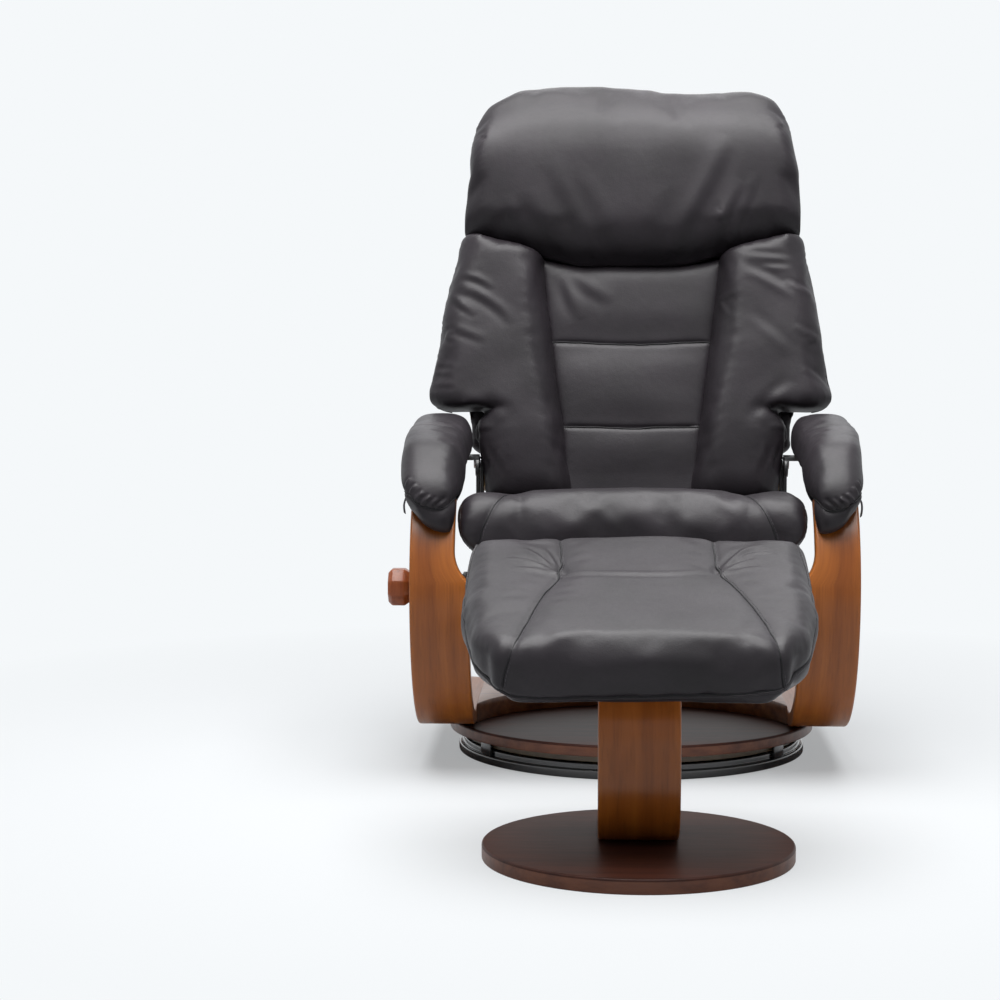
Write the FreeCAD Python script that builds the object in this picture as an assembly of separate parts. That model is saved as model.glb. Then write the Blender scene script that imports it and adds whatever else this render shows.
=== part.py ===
import FreeCAD, Part
import math
import os

# Recliner with ottoman, in millimetres. Origin: centre of the floor ring, on the floor.
# +Z is up, -Y is the way the chair faces, +X is its right side as seen from the front.

# Floor ring and swivel bearing
RING_R = 309.0
RING_WIDTH = 26.0
RING_FOOT_H = 15.0
RING_H = 25.0
RING_SHOULDER = 8.0
GUIDE_W = 30.0
GUIDE_T = 5.6
GUIDE_GAP = 3.0
GUIDE_BELOW_DISC = 2.0
SPOKE_W = 40.0
SPOKE_T = 8.0
SPOKE_LIFT = 4.0
HUB_R = 60.0
BEARING_HALF = 130.0
BEARING_BORE = 35.0
PLATE_T = 3.0
GLIDE_R = 98.0
GLIDE_W = 24.0
GLIDE_H = 9.0
GLIDE_SIDES = 24

# Wooden discs of the chair
LOWER_DISC_T = 14.0
DISC_R = 325.0
DISC_T = 20.0
DISC_EDGE = 2.5

# Bentwood arms
ARM_T = 25.0
ARM_OUT_X = 371.0
ARM_LOW_IN_X = 272.0
ARM_TOP_IN_X = 297.0
ARM_FRONT_Y = -360.0
ARM_LOW_R = 258.0
ARM_TOP_R = 210.0
ARM_RISE = 3.5
ARM_TOP_END_Y = 115.0
ARM_FOOT_END_Y = 250.0
ARM_FOOT_CORNER_R = 30.0
ARM_SHOULDER_Z = 337.0
ARM_SHOULDER_RUN = 51.0

# Boards between the arms
CROSS_BOARD_T = 35.0
CROSS_FRONT_Y = -115.0
CROSS_MIDDLE_Y = 82.0
CROSS_REAR_Y = 130.0
RAIL_T = 22.0
RAIL_SETBACK = 8.0
RAIL_H = 109.0
RAIL_BELOW_SHOULDER = 2.0
DOWEL_R = 5.0
DOWEL_L = 34.0

# Arm pads
PAD_IN_X = 285.0
PAD_OUT_X = 386.0
PAD_LIP_OUT_X = 380.0
PAD_THICK = 48.0
PAD_FRONT_THICK = 60.0
PAD_WRAP = 22.0
PAD_CORNER = 20.0
PAD_END_ANGLE = 29.0
TAB_W = 10.0
TAB_T = 3.0
TAB_REACH = 6.0
TAB_HOOK = 12.0

# Side brackets and the plates beside them
BRACKET_CLEAR = 1.0
BRACKET_T = 6.0
BRACKET_LEG_Z = 264.0
BRACKET_LEG_H = 60.0
BRACKET_POST_W = 50.0
FRONT_FLANGE_W = 46.0
FRONT_FLANGE_H = 60.0
TOP_FLANGE_L = 42.0
TOP_FLANGE_W = 58.0
BAR_T = 5.0
PLATE_GAP = 2.0
PIVOT_Y = 122.0
PIVOT_BELOW_ARM = 24.0
PIVOT_R = 6.0
PIVOT_HEAD_R = 11.0
RUN_CLEAR = 0.05
BACK_TURN = 25.0
DRIVE_ARM = 105.0
DRIVE_PIN_R = 5.0
DRIVE_PLAY = 1.2
GUIDE_Z = 294.0
GUIDE_PIN_R = 6.0
GUIDE_HEAD_R = 10.0
GUIDE_HEAD_T = 5.0
GUIDE_FRONT_Y = -226.0
GUIDE_REAR_Y = 40.0
SLOT_PLAY = 0.1
SIDE_PLAY = 0.3

# Recline knob, on the side of -X
KNOB_Y = -50.0
KNOB_R = 35.0
KNOB_T = 39.0
KNOB_IN_X = 393.0
KNOB_SIDES = 8
KNOB_BEVEL = 7.0
STUD_R = 6.0
STUD_COLLAR_R = 11.0
STUD_COLLAR_T = 4.0
STUD_IN_KNOB = 24.0

# Seat
SEAT_HALF_W = 290.0
SEAT_FRONT_Y = -345.0
SEAT_REAR_Y = 83.0
SEAT_TOP_Z = 474.0
SEAT_REAR_Z = 457.0
SEAT_CROWN = 7.0
SEAT_RAIL_Z = 338.0
SEAT_RAIL_H = 43.0
SEAT_RAIL_T = 20.0
SEAT_FRAME_FRONT_Y = -320.0
SEAT_FRAME_REAR_Y = 70.0
SEAT_SEAM_X = 190.0
SEAT_SEAM_W = 9.0
SEAT_SEAM_DEPTH = 3.0
SEAT_EDGE_R = 24.0
SEAT_ROLL_R = 50.0
SEAT_FOOT_R = 20.0
WEB_T = 1.8
WEB_W = 50.0
SEAT_WEB_COUNT = 4
DUST_COVER_T = 1.5
SEAT_BAR_FRONT_Y = -282.0
SEAT_BAR_H = 86.0
SEAT_BAR_BELOW = 18.0
SEAT_EAR_W = 54.0
SOFT_CLEAR = 0.3

# Back, in its own frame: height runs up the leaning back, depth runs to the rear
BACK_FOOT_Y = 88.0
BACK_FOOT_Z = 457.0
BACK_LEAN = 16.0
BACK_HEIGHT = 778.0
CUSHION_BACK = 18.0
POST_T = 40.0
POST_W = 32.0
POST_FOOT = 10.0
POST_TOP = 700.0
BACK_RAIL_H = 40.0
BACK_MIDDLE_RAIL = 330.0
BACK_WEB_COUNT = 5
BACK_BAR_W = 36.0
BACK_BAR_TOP = 400.0
PANEL_HALF_FOOT = 108.0
PANEL_HALF_TOP = 164.0
PANEL_UNDER_FOLD = 20.0
PANEL_SEAMS = (117.0, 275.0)
PANEL_CROWN = 12.0
WING_START = 150.0
WING_WIDE = 178.0
WING_HALF_W = 368.0
WING_CROWN = 48.0
WING_EDGE_R = 22.0
WING_INNER_ROUND = 50.0
WING_OUTER_ROUND = 60.0
WING_BACK_STEP = 16.0
LOWER_BACK_HALF_W = 268.0
HEAD_HALF_W = 308.0
HEAD_FOLD = 426.0
HEAD_SIDE_FOLD = 482.0
HEAD_LEVEL_X = 90.0
HEAD_BULGE = 80.0
HEAD_SIDE_BULGE = 56.0
HEAD_TOP_FRONT = 26.0
HEAD_TOP_ROUND = 26.0
HEAD_LOW_ROUND = 42.0
HEAD_EDGE_R = 34.0
COVER_HALF_W = 300.0
COVER_DEPTH = 92.0
COVER_CROWN = 6.0
COVER_CORNER = 20.0
COVER_EDGE = 20.0
COVER_FOOT = 4.0
COVER_TOP_DROP = 28.0
COVER_WALL_CLEAR = 4.0

# Screws
SCREW_R = 3.0
SCREW_HEAD_R = 6.0
SCREW_HEAD_T = 2.5
BOLT_R = 4.0
BOLT_HEAD_R = 9.0
BOLT_HEAD_T = 5.0
BOLT_BITE = 16.0

# Ottoman
OTTOMAN_Y = -855.0
OTTOMAN_DISC_R = 226.0
OTTOMAN_DISC_T = 22.0
STAND_W = 117.0
STAND_T = 22.0
STAND_FRONT_Y = -943.0
STAND_LOW_R = 110.0
STAND_STRAIGHT = 52.0
STAND_TOP_R = 110.0
STAND_FOOT_END_Y = -700.0
STAND_TOP_END_Y = -690.0
OTTOMAN_TILT = 14.6
OTTOMAN_BOARD_T = 15.0
OTTOMAN_BOARD_HALF_W = 190.0
OTTOMAN_CUSHION_H = 95.0
OTTOMAN_HALF_W = 250.0
OTTOMAN_FRONT_HALF_W = 205.0
OTTOMAN_FRONT = 194.0
OTTOMAN_REAR = 233.0
OTTOMAN_BOARD_MARGIN = 40.0
OTTOMAN_CROWN = 6.0
OTTOMAN_CORNER = 24.0
OTTOMAN_EDGE_R = 34.0

# Heights and places that follow from the sizes above
LOWER_PLATE_Z = SPOKE_LIFT + SPOKE_T
GLIDE_Z = LOWER_PLATE_Z + PLATE_T
UPPER_PLATE_Z = GLIDE_Z + GLIDE_H
LOWER_DISC_Z = UPPER_PLATE_Z + PLATE_T
DISC_Z = LOWER_DISC_Z + LOWER_DISC_T
DISC_TOP_Z = DISC_Z + DISC_T
PIVOT_Z = DISC_TOP_Z + ARM_LOW_R + ARM_TOP_R - PIVOT_BELOW_ARM
RING_TOP_R = RING_R - RING_SHOULDER
LOWER_DISC_R = RING_TOP_R - GUIDE_GAP
BRACKET_OUT_X = PAD_IN_X - BRACKET_CLEAR
BRACKET_IN_X = BRACKET_OUT_X - BRACKET_T
BACK_BAR_OUT_X = BRACKET_IN_X - PLATE_GAP
BACK_BAR_IN_X = BACK_BAR_OUT_X - BAR_T
SEAT_BAR_OUT_X = BACK_BAR_IN_X - PLATE_GAP
SEAT_BAR_IN_X = SEAT_BAR_OUT_X - BAR_T
SEAT_TRAVEL = DRIVE_ARM * math.sin(math.radians(BACK_TURN))
DRIVE_Z = PIVOT_Z - DRIVE_ARM
DRIVE_LIFT = DRIVE_ARM * (1 - math.cos(math.radians(BACK_TURN)))
SEAT_CUSHION_Z = SEAT_RAIL_Z + SEAT_RAIL_H + WEB_T + SOFT_CLEAR
SEAT_BAR_Z = GUIDE_Z - SEAT_BAR_BELOW
PANEL_TOP = HEAD_FOLD + PANEL_UNDER_FOLD
TINY = 0.5
OVERRUN = 10.0


def vec(x, y, z):
    return FreeCAD.Vector(x, y, z)


def box(x0, x1, y0, y1, z0, z1):
    return Part.makeBox(x1 - x0, y1 - y0, z1 - z0, vec(x0, y0, z0))


def rod(radius, x0, x1, y, z):
    """Round bar along X."""
    return Part.makeCylinder(radius, x1 - x0, vec(x0, y, z), vec(1, 0, 0))


def upright(radius, x, y, z0, z1):
    """Round bar along Z."""
    return Part.makeCylinder(radius, z1 - z0, vec(x, y, z0))


def sided_bar(radius, base, along, sides=6):
    """Bar with flat sides from base, along a vector; radius is that of its corners."""
    bar_axis = vec(along.x, along.y, along.z)
    side = vec(0, 1, 0) if abs(bar_axis.y) < abs(bar_axis.x) + abs(bar_axis.z) else vec(1, 0, 0)
    side = bar_axis.cross(side).normalize()
    other = bar_axis.cross(side).normalize()
    corners = []
    for i in range(sides):
        angle = 2 * math.pi / sides * i
        corners.append(base + side * (radius * math.cos(angle)) + other * (radius * math.sin(angle)))
    return Part.Face(Part.makePolygon(corners + corners[:1])).extrude(along)


def screw(place, into, length, radius, head_r, head_t):
    """Screw with its head's underside at place, its shank running into the unit vector."""
    shank = sided_bar(radius, place, into * length)
    head = sided_bar(head_r, place, into * -head_t)
    return shank.fuse(head)


def small_screw(place, into, length):
    return screw(place, into, length, SCREW_R, SCREW_HEAD_R, SCREW_HEAD_T)


def large_bolt(place, into, length):
    return screw(place, into, length, BOLT_R, BOLT_HEAD_R, BOLT_HEAD_T)


def line(a, b):
    return Part.LineSegment(a, b).toShape()


def arc(a, middle, b):
    return Part.Arc(a, middle, b).toShape()


def face(edges):
    return Part.Face(Part.Wire(Part.__sortEdges__(edges)))


def mirrored(shape):
    return shape.mirror(vec(0, 0, 0), vec(1, 0, 0))


def both_sides(shape):
    return [shape, mirrored(shape)]


def group(solids):
    return Part.makeCompound(solids)


def loft(wires):
    """Solid through closed sections, straight from one to the next."""
    return Part.makeLoft(wires, True, True)


def edge_rounds(radius, steps):
    """Pairs (inset, drop) that round an edge off by a quarter circle."""
    pairs = []
    for i in range(steps):
        angle = math.pi / 2 * (i + 0.6) / steps
        pairs.append((radius * (1 - math.cos(angle)), radius * (1 - math.sin(angle))))
    return pairs


def blend(a, b, share):
    return a + (b - a) * share


def slot_along_y(radius, y0, y1, z, x0, x1):
    """Tool for a slot with round ends whose centres lie at y0 and y1."""
    ends = rod(radius, x0, x1, y0, z).fuse(rod(radius, x0, x1, y1, z))
    return ends.fuse(box(x0, x1, y0, y1, z - radius, z + radius)).removeSplitter()


def slot_along_z(radius, z0, z1, y, x0, x1):
    ends = rod(radius, x0, x1, y, z0).fuse(rod(radius, x0, x1, y, z1))
    return ends.fuse(box(x0, x1, y - radius, y + radius, z0, z1)).removeSplitter()


def link_plate(a, b, radius, x0, x1):
    """Flat plate with round ends, from a to b, both given as (y, z)."""
    ay, az = a
    by, bz = b
    length = math.hypot(by - ay, bz - az)
    ny = -(bz - az) / length * radius
    nz = (by - ay) / length * radius
    corners = [
        vec(x0, ay + ny, az + nz),
        vec(x0, by + ny, bz + nz),
        vec(x0, by - ny, bz - nz),
        vec(x0, ay - ny, az - nz),
    ]
    strip = Part.Face(Part.makePolygon(corners + corners[:1])).extrude(vec(x1 - x0, 0, 0))
    return strip.fuse(rod(radius, x0, x1, ay, az)).fuse(rod(radius, x0, x1, by, bz))


# Bent strips: the side view of a C, open to the rear, in the plane X = 0

def c_line(spec, inset):
    """Edges of the C's outer line moved inwards by inset, from the foot to the top end."""
    low_r = spec["low_r"] - inset
    top_r = spec["top_r"] - inset
    rise = math.radians(spec["rise"])
    low_y = spec["front_y"] + spec["low_r"]
    low_z = spec["foot_z"] + spec["low_r"]
    top_y = spec["front_y"] + spec["top_r"]
    top_z = low_z + spec["straight"]
    half = math.sqrt(0.5)
    turn = math.pi / 2 - rise
    foot = vec(0, spec["foot_end_y"], spec["foot_z"] + inset)
    low_start = vec(0, low_y, spec["foot_z"] + inset)
    low_middle = vec(0, low_y - low_r * half, low_z - low_r * half)
    front_low = vec(0, spec["front_y"] + inset, low_z)
    front_top = vec(0, spec["front_y"] + inset, top_z)
    top_middle = vec(0, top_y - top_r * math.cos(turn / 2), top_z + top_r * math.sin(turn / 2))
    top_start = vec(0, top_y - top_r * math.cos(turn), top_z + top_r * math.sin(turn))
    outer_start_y = top_y - spec["top_r"] * math.cos(turn)
    run = (spec["top_end_y"] - outer_start_y) / math.cos(rise)
    end = top_start + vec(0, math.cos(rise), math.sin(rise)) * run
    edges = [line(foot, low_start), arc(low_start, low_middle, front_low)]
    if spec["straight"] > 0:
        edges.append(line(front_low, front_top))
    edges.append(arc(front_top, top_middle, top_start))
    edges.append(line(top_start, end))
    return edges, foot, end


def c_strip(spec, thickness, x0, x1):
    outer, foot_out, end_out = c_line(spec, 0)
    inner, foot_in, end_in = c_line(spec, thickness)
    outline = face(outer + inner + [line(foot_out, foot_in), line(end_out, end_in)])
    outline.translate(vec(x0, 0, 0))
    return outline.extrude(vec(x1 - x0, 0, 0))


ARM_SPEC = {
    "front_y": ARM_FRONT_Y,
    "foot_z": DISC_TOP_Z,
    "foot_end_y": ARM_FOOT_END_Y,
    "low_r": ARM_LOW_R,
    "straight": 0,
    "top_r": ARM_TOP_R,
    "rise": ARM_RISE,
    "top_end_y": ARM_TOP_END_Y,
}
STAND_SPEC = {
    "front_y": STAND_FRONT_Y,
    "foot_z": OTTOMAN_DISC_T,
    "foot_end_y": STAND_FOOT_END_Y,
    "low_r": STAND_LOW_R,
    "straight": STAND_STRAIGHT,
    "top_r": STAND_TOP_R,
    "rise": OTTOMAN_TILT,
    "top_end_y": STAND_TOP_END_Y,
}


def top_run_z(spec, y, inset):
    """Height of the C's top run at y, moved inwards by inset."""
    rise = math.radians(spec["rise"])
    turn = math.pi / 2 - rise
    start_y = spec["front_y"] + spec["top_r"] * (1 - math.cos(turn))
    start_z = spec["foot_z"] + spec["low_r"] + spec["straight"] + spec["top_r"] * math.sin(turn)
    return start_z + (y - start_y) * math.tan(rise) - inset / math.cos(rise)


# Swivel base

def floor_ring():
    inner_r = RING_R - RING_WIDTH
    outline = [
        (inner_r, 0),
        (RING_R, 0),
        (RING_R, RING_FOOT_H),
        (RING_TOP_R, RING_FOOT_H),
        (RING_TOP_R, RING_H),
        (inner_r, RING_H),
    ]
    corners = [vec(r, 0, z) for r, z in outline]
    profile = Part.Face(Part.makePolygon(corners + corners[:1]))
    return profile.revolve(vec(0, 0, 0), vec(0, 0, 1), 360)


def ring_spokes():
    inner_r = RING_R - RING_WIDTH
    z0, z1 = SPOKE_LIFT, SPOKE_LIFT + SPOKE_T
    along = box(-RING_R, RING_R, -SPOKE_W / 2, SPOKE_W / 2, z0, z1)
    across = box(-SPOKE_W / 2, SPOKE_W / 2, -RING_R, RING_R, z0, z1)
    cross = along.fuse(across).fuse(upright(HUB_R, 0, 0, z0, z1))
    cross = cross.common(upright(inner_r, 0, 0, z0, z1))
    cross = cross.removeSplitter()
    for fixing in lower_plate_screws():
        cross = cross.cut(fixing)
    return cross


def ring_guides():
    """Black uprights on the ring that keep the lower disc centred."""
    guides = []
    for degrees in (34, 146, 214, 326):
        block = box(RING_TOP_R, RING_TOP_R + GUIDE_T, -GUIDE_W / 2, GUIDE_W / 2,
                    RING_FOOT_H, DISC_Z - GUIDE_BELOW_DISC)
        block = block.cut(upright(RING_TOP_R + SLOT_PLAY, 0, 0, 0, DISC_Z))
        block.rotate(vec(0, 0, 0), vec(0, 0, 1), degrees)
        guides.append(block)
    return group(guides)


def plate_screw_places(turn):
    radius = BEARING_HALF - 2 * SCREW_HEAD_R
    return [
        (radius * math.cos(math.radians(turn + a)), radius * math.sin(math.radians(turn + a)))
        for a in (0, 90, 180, 270)
    ]


def bearing_plate(z, fixings):
    plate = box(-BEARING_HALF, BEARING_HALF, -BEARING_HALF, BEARING_HALF, z, z + PLATE_T)
    plate = plate.cut(upright(BEARING_BORE, 0, 0, z, z + PLATE_T))
    for fixing in fixings:
        plate = plate.cut(fixing)
    return plate


def glide_ring():
    """Plastic ring that the upper plate turns on."""
    base, along = vec(0, 0, GLIDE_Z), vec(0, 0, GLIDE_H)
    ring = sided_bar(GLIDE_R + GLIDE_W / 2, base, along, GLIDE_SIDES)
    return ring.cut(sided_bar(GLIDE_R - GLIDE_W / 2, base, along, GLIDE_SIDES))


def lower_plate_screws():
    down = vec(0, 0, -1)
    length = PLATE_T + SPOKE_T
    return [small_screw(vec(x, y, GLIDE_Z), down, length) for x, y in plate_screw_places(0)]


# Chair frame

def upper_screws():
    """Screws of the upper swivel plate, up into the wooden discs."""
    length = PLATE_T + LOWER_DISC_T + DISC_T / 2
    return [
        small_screw(vec(x, y, UPPER_PLATE_Z), vec(0, 0, 1), length)
        for x, y in plate_screw_places(45)
    ]


def base_disc_lower():
    disc = upright(LOWER_DISC_R, 0, 0, LOWER_DISC_Z, DISC_Z)
    for screw in upper_screws():
        disc = disc.cut(screw)
    return disc


def frame_bolt_places():
    arm_x = (ARM_LOW_IN_X + LOWER_DISC_R) / 2
    places = [(arm_x, 0), (arm_x, BOLT_HEAD_R * 8)]
    places.append((ARM_LOW_IN_X / 2, (CROSS_MIDDLE_Y + CROSS_REAR_Y) / 2))
    return places + [(-x, y) for x, y in places]


def frame_bolts():
    """Bolts from under the disc into the arms and the cross board, heads sunk in the disc."""
    up = vec(0, 0, 1)
    length = DISC_T - BOLT_HEAD_T + BOLT_BITE
    z = DISC_Z + BOLT_HEAD_T
    return [large_bolt(vec(x, y, z), up, length) for x, y in frame_bolt_places()]


def rounded_disc(radius, y, z0, z1):
    """Disc with a bevelled upper rim."""
    disc = upright(radius, 0, y, z0, z1)
    rims = [e for e in disc.Edges if isinstance(e.Curve, Part.Circle) and e.CenterOfMass.z > z1 - TINY]
    return disc.makeChamfer(DISC_EDGE, rims)


def base_disc():
    disc = rounded_disc(DISC_R, 0, DISC_Z, DISC_TOP_Z)
    for bolt in frame_bolts() + upper_screws():
        disc = disc.cut(bolt)
    return disc


def arm_frame():
    """Bent strip, wide at the foot and narrower above the shoulder of its inner edge."""
    strip = c_strip(ARM_SPEC, ARM_T, ARM_LOW_IN_X, ARM_OUT_X)
    step = ARM_TOP_IN_X - ARM_LOW_IN_X
    radius = (ARM_SHOULDER_RUN ** 2 + step ** 2) / (2 * step)
    centre_x = ARM_TOP_IN_X - radius
    tangent_z = ARM_SHOULDER_Z + ARM_SHOULDER_RUN
    half_turn = math.asin(ARM_SHOULDER_RUN / radius) / 2
    y0 = ARM_FRONT_Y - OVERRUN
    y1 = ARM_TOP_END_Y + ARM_T
    z_top = top_run_z(ARM_SPEC, y1, 0) + OVERRUN
    low = vec(ARM_LOW_IN_X, y0, ARM_SHOULDER_Z)
    middle = vec(centre_x + radius * math.cos(half_turn), y0, tangent_z - radius * math.sin(half_turn))
    high = vec(ARM_TOP_IN_X, y0, tangent_z)
    void = face([
        arc(low, middle, high),
        line(high, vec(ARM_TOP_IN_X, y0, z_top)),
        line(vec(ARM_TOP_IN_X, y0, z_top), vec(ARM_LOW_IN_X - OVERRUN, y0, z_top)),
        line(vec(ARM_LOW_IN_X - OVERRUN, y0, z_top), vec(ARM_LOW_IN_X - OVERRUN, y0, ARM_SHOULDER_Z)),
        line(vec(ARM_LOW_IN_X - OVERRUN, y0, ARM_SHOULDER_Z), low),
    ]).extrude(vec(0, y1 - y0, 0))
    strip = strip.cut(void)
    corner = [
        e for e in strip.Edges
        if abs(e.BoundBox.XLength) < TINY and abs(e.BoundBox.YLength) < TINY
        and abs(e.CenterOfMass.y - ARM_FOOT_END_Y) < TINY
    ]
    strip = strip.makeFillet(ARM_FOOT_CORNER_R, corner)
    for bolt in frame_bolts() + rail_dowels() + bracket_screws_right():
        strip = strip.cut(bolt)
    return strip


def cross_board():
    x = ARM_LOW_IN_X
    z = DISC_TOP_Z
    left_front = vec(-x, CROSS_FRONT_Y, z)
    right_front = vec(x, CROSS_FRONT_Y, z)
    outline = face([
        arc(left_front, vec(0, CROSS_MIDDLE_Y, z), right_front),
        line(right_front, vec(x, CROSS_REAR_Y, z)),
        line(vec(x, CROSS_REAR_Y, z), vec(-x, CROSS_REAR_Y, z)),
        line(vec(-x, CROSS_REAR_Y, z), left_front),
    ])
    board = outline.extrude(vec(0, 0, CROSS_BOARD_T))
    for bolt in frame_bolts():
        board = board.cut(bolt)
    return board


def rail_span():
    top = ARM_SHOULDER_Z - RAIL_BELOW_SHOULDER
    front = ARM_FRONT_Y + RAIL_SETBACK
    return front, front + RAIL_T, top - RAIL_H, top


def rail_dowels():
    y0, y1, z0, z1 = rail_span()
    dowels = []
    for share in (0.35, 0.7):
        start = vec(ARM_LOW_IN_X - DOWEL_L / 2, (y0 + y1) / 2, blend(z0, z1, share))
        dowel = sided_bar(DOWEL_R, start, vec(DOWEL_L, 0, 0))
        dowels += both_sides(dowel)
    return dowels


def front_rail():
    y0, y1, z0, z1 = rail_span()
    rail = box(-ARM_LOW_IN_X, ARM_LOW_IN_X, y0, y1, z0, z1)
    for dowel in rail_dowels():
        rail = rail.cut(dowel)
    return rail


def pad_section(along, out_to, x_in, x_out):
    """Closed section of an arm pad on the arm's outer line at one of its stations."""
    point, normal = along
    corner, half = PAD_CORNER, math.sqrt(0.5)

    def at(x, out):
        return vec(x, 0, 0) + point + normal * out

    return Part.Wire([
        line(at(x_in, -PAD_WRAP), at(x_out, -PAD_WRAP)),
        line(at(x_out, -PAD_WRAP), at(x_out, out_to - corner)),
        arc(at(x_out, out_to - corner),
            at(x_out - corner * (1 - half), out_to - corner * (1 - half)),
            at(x_out - corner, out_to)),
        line(at(x_out - corner, out_to), at(x_in + corner, out_to)),
        arc(at(x_in + corner, out_to),
            at(x_in + corner * (1 - half), out_to - corner * (1 - half)),
            at(x_in, out_to - corner)),
        line(at(x_in, out_to - corner), at(x_in, -PAD_WRAP)),
    ])


def arm_station(degrees):
    """Point on the upper bow's outer line and its outward normal; 90 is straight up."""
    angle = math.radians(degrees)
    normal = vec(0, -math.cos(angle), math.sin(angle))
    centre = vec(0, ARM_FRONT_Y + ARM_TOP_R, DISC_TOP_Z + ARM_LOW_R)
    return centre + normal * ARM_TOP_R, normal


def top_station(y):
    rise = math.radians(ARM_RISE)
    return vec(0, y, top_run_z(ARM_SPEC, y, 0)), vec(0, -math.sin(rise), math.cos(rise))


def arm_pad():
    """Padded sleeve over the arm's top and sides, thickest over the bow."""
    end = PAD_END_ANGLE
    full = 90 - ARM_RISE
    rear_y = ARM_TOP_END_Y
    bow_in_x = ARM_TOP_IN_X - SOFT_CLEAR
    sections = [
        pad_section(top_station(rear_y), PAD_THICK - PAD_CORNER / 2, PAD_IN_X, PAD_OUT_X),
        pad_section(top_station(rear_y - PAD_CORNER), PAD_THICK, PAD_IN_X, PAD_OUT_X),
        pad_section(arm_station(full), PAD_THICK, PAD_IN_X, PAD_OUT_X),
        pad_section(arm_station(blend(end, full, 0.6)), PAD_FRONT_THICK, PAD_IN_X, PAD_OUT_X),
        pad_section(arm_station(blend(end, full, 0.25)), PAD_FRONT_THICK, bow_in_x, PAD_OUT_X),
        pad_section(arm_station(blend(end, full, 0.07)), PAD_FRONT_THICK * 0.75, bow_in_x, PAD_OUT_X),
        pad_section(arm_station(end), PAD_CORNER, bow_in_x, PAD_LIP_OUT_X),
    ]
    pad = loft(sections)
    pad = pad.cut(c_strip(ARM_SPEC, ARM_T, ARM_TOP_IN_X, ARM_OUT_X))
    return pad.cut(arm_pad_tab())


def arm_pad_tab():
    """Small hooked pull tab that comes out of the pad's outer side."""
    station, normal = arm_station(blend(PAD_END_ANGLE, 90, 0.25))
    y = station.y
    z = station.z + TAB_W
    tongue = box(ARM_OUT_X, PAD_OUT_X + TAB_REACH, y, y + TAB_W, z, z + TAB_T)
    hook = box(PAD_OUT_X + TAB_REACH - TAB_T, PAD_OUT_X + TAB_REACH, y, y + TAB_W, z - TAB_HOOK, z)
    return tongue.fuse(hook).removeSplitter()


# Side brackets, seat bars and back bars: the recline mechanism

def bracket_front_y():
    """Flat of the front flange, against the bow's inner side."""
    radius = ARM_LOW_R - ARM_T
    centre_y = ARM_FRONT_Y + ARM_LOW_R
    return centre_y - math.sqrt(radius ** 2 - (FRONT_FLANGE_H / 2) ** 2)


def side_bracket(with_stud):
    x0, x1 = BRACKET_IN_X, BRACKET_OUT_X
    y0 = bracket_front_y()
    bow_z = DISC_TOP_Z + ARM_LOW_R
    post_y0 = PIVOT_Y - BRACKET_POST_W / 2
    post_y1 = PIVOT_Y + BRACKET_POST_W / 2
    leg = box(x0, x1, y0, post_y1, BRACKET_LEG_Z, BRACKET_LEG_Z + BRACKET_LEG_H)
    post = box(x0, x1, post_y0, post_y1, BRACKET_LEG_Z, PIVOT_Z - BRACKET_POST_W / 4)
    head = link_plate((ARM_TOP_END_Y - TOP_FLANGE_L + PIVOT_HEAD_R, PIVOT_Z - PIVOT_HEAD_R / 2),
                      (PIVOT_Y, PIVOT_Z - PIVOT_HEAD_R / 2), PIVOT_HEAD_R + BRACKET_T, x0, x1)
    web_top = DISC_TOP_Z + ARM_LOW_R + FRONT_FLANGE_H / 2
    web = box(x0, x1, y0, y0 + 2 * BRACKET_LEG_H / 3, BRACKET_LEG_Z, web_top)
    flange = box(x0, x0 + FRONT_FLANGE_W, y0, y0 + BRACKET_T,
                 bow_z - FRONT_FLANGE_H / 2, bow_z + FRONT_FLANGE_H / 2)
    bracket = leg.fuse(post).fuse(head).fuse(web).fuse(flange).fuse(top_flange())
    bracket = bracket.cut(above_arm_underside())
    bracket = bracket.cut(c_strip(ARM_SPEC, ARM_T, BRACKET_IN_X, ARM_OUT_X))
    bracket = bracket.cut(rod(PIVOT_R + RUN_CLEAR, x0, x1, PIVOT_Y, PIVOT_Z))
    for y in (GUIDE_FRONT_Y, GUIDE_REAR_Y):
        bracket = bracket.cut(guide_neck(y))
    if with_stud:
        bracket = bracket.cut(rod(STUD_R + RUN_CLEAR, x0, x1, KNOB_Y, GUIDE_Z))
    for screw in bracket_screws_right():
        bracket = bracket.cut(screw)
    return bracket.removeSplitter()


def under_arm_prism(drop0, drop1, y0, y1, x0, x1):
    """Prism that follows the arm's top run, between two depths below its underside."""
    corners = [
        vec(x0, y, top_run_z(ARM_SPEC, y, ARM_T) - drop)
        for y, drop in ((y0, drop0), (y1, drop0), (y1, drop1), (y0, drop1))
    ]
    return Part.Face(Part.makePolygon(corners + corners[:1])).extrude(vec(x1 - x0, 0, 0))


def top_flange():
    y1 = ARM_TOP_END_Y
    return under_arm_prism(0, BRACKET_T, y1 - TOP_FLANGE_L, y1,
                           BRACKET_IN_X, BRACKET_IN_X + TOP_FLANGE_W)


def above_arm_underside():
    return under_arm_prism(-4 * ARM_T, 0, ARM_TOP_END_Y - 3 * TOP_FLANGE_L,
                           ARM_TOP_END_Y + 3 * TOP_FLANGE_L, BRACKET_IN_X - OVERRUN, ARM_OUT_X)


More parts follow.
